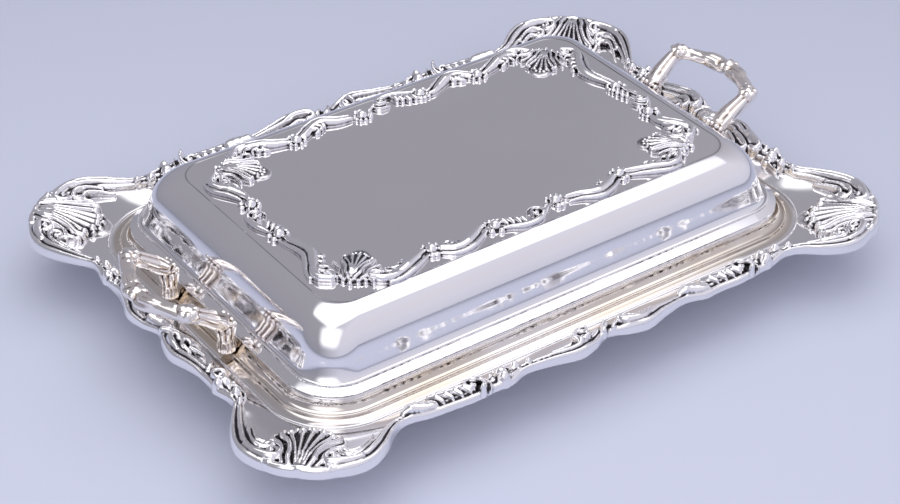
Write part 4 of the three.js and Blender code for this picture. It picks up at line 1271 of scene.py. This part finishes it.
def add_floor():
    """Pale paper with a painted pool of light: its colour darkens away from the dish."""
    def inputs_of(tree):
        place = node(tree, "TexCoord", {}, "Object")
        # Painted light: the paper darkens with distance from a point in front of the dish.
        away = node(tree, "VectorMath", {0: place, 1: (-0.25, -0.35, 0.0)}, "Value", operation="DISTANCE")
        tone = [(0.0, (0.535, 0.557, 0.668)), (0.14, (0.505, 0.528, 0.634)), (0.3, (0.41, 0.428, 0.521)),
                (0.55, (0.35, 0.364, 0.442)), (1.0, (0.315, 0.325, 0.39))]
        colour = ramp(tree, maths(tree, "MULTIPLY", away, 1 / LIGHT_POOL_REACH), tone)
        return {"Roughness": 0.85, "Specular IOR Level": 0.1, "Base Color": colour}

    bpy.ops.mesh.primitive_plane_add(size=14)
    floor = bpy.context.object
    floor.name = "studio_floor"
    floor.data.materials.append(material("studio_paper", inputs_of))


def add_light(name, kind, place, target, power):
    data = bpy.data.lights.new(name, kind)
    data.energy = power
    lamp = bpy.data.objects.new(name, data)
    bpy.context.scene.collection.objects.link(lamp)
    lamp.location = place
    lamp.rotation_euler = (Vector(target) - Vector(place)).to_track_quat("-Z", "Y").to_euler()
    return lamp


def add_softbox(name, place, target, size, radiance, fade):
    """A soft box whose face has a given radiance, fading out along its edges."""
    lamp = add_light(name, "AREA", place, target, radiance * math.pi * size[0] * size[1])
    lamp.data.shape = "RECTANGLE"
    lamp.data.size, lamp.data.size_y = size
    lamp.data.use_nodes = True
    tree = lamp.data.node_tree
    face = node(tree, "NewGeometry", {}, "Parametric")
    edges = []
    for axis in range(2):
        across = maths(tree, "SUBTRACT", node(tree, "SeparateXYZ", {"Vector": face}, axis), 0.5)
        edges.append(spread(
            tree, maths(tree, "ABSOLUTE", across), (0.5 - fade, 0.5), (1.0, 0.0),
            interpolation_type="SMOOTHSTEP",
        ))
    feed(tree, tree.nodes["Emission"], {"Strength": maths(tree, "MULTIPLY", *edges)})


def add_world():
    """A plain room, grey behind the dish and light towards its front."""
    world = bpy.data.worlds.new("room")
    bpy.context.scene.world = world
    world.use_nodes = True
    tree = world.node_tree
    way = node(tree, "TexCoord", {}, "Generated")
    tone = [(0.0, (0.31, 0.315, 0.37)), (0.3, (0.35, 0.345, 0.395)), (0.57, (0.36, 0.35, 0.39)),
            (0.8, (0.37, 0.365, 0.41))]
    high = ramp(tree, node(tree, "SeparateXYZ", {"Vector": way}, "Z"), tone)
    toward = node(tree, "VectorMath", {0: way, 1: (0.5, -0.86, 0.0)}, "Value", operation="DOT_PRODUCT")
    inputs = {0: high, "Scale": spread(tree, toward, (-0.3, 0.6), (1.0, 2.1))}
    shaded = node(tree, "VectorMath", inputs, "Vector", operation="SCALE")
    feed(tree, tree.nodes["Background"], {"Color": shaded})


def add_studio():
    add_floor()
    add_world()
    middle = (0.0, 0.0, 0.04)
    add_softbox("softbox_overhead", (0.15, 0.15, 1.5), (0.15, 0.15, 0.0), (2.4, 1.7), 1.2, 0.16)
    add_softbox("softbox_camera", (-1.15, -0.85, 1.1), middle, (1.9, 1.9), 1.2, 0.35)
    sun = add_light("paper_fill", "SUN", (-0.55, -0.8, 0.75), middle, 1.4)
    sun.data.angle = math.radians(100)
    sun.visible_glossy = False


def add_camera():
    turn, rise = math.radians(-35.378), math.radians(34.6375)
    data = bpy.data.cameras.new("camera")
    data.lens = 88.6
    data.sensor_width = 36
    camera = bpy.data.objects.new("camera", data)
    bpy.context.scene.collection.objects.link(camera)
    camera.location = (-0.5821, -0.8145, 0.7039)
    camera.rotation_euler = (math.pi / 2 - rise, 0, turn)
    bpy.context.scene.camera = camera


add_sheets()
add_partition()
add_castings()
add_studio()
add_camera()
bpy.context.scene.view_settings.view_transform = "Standard"
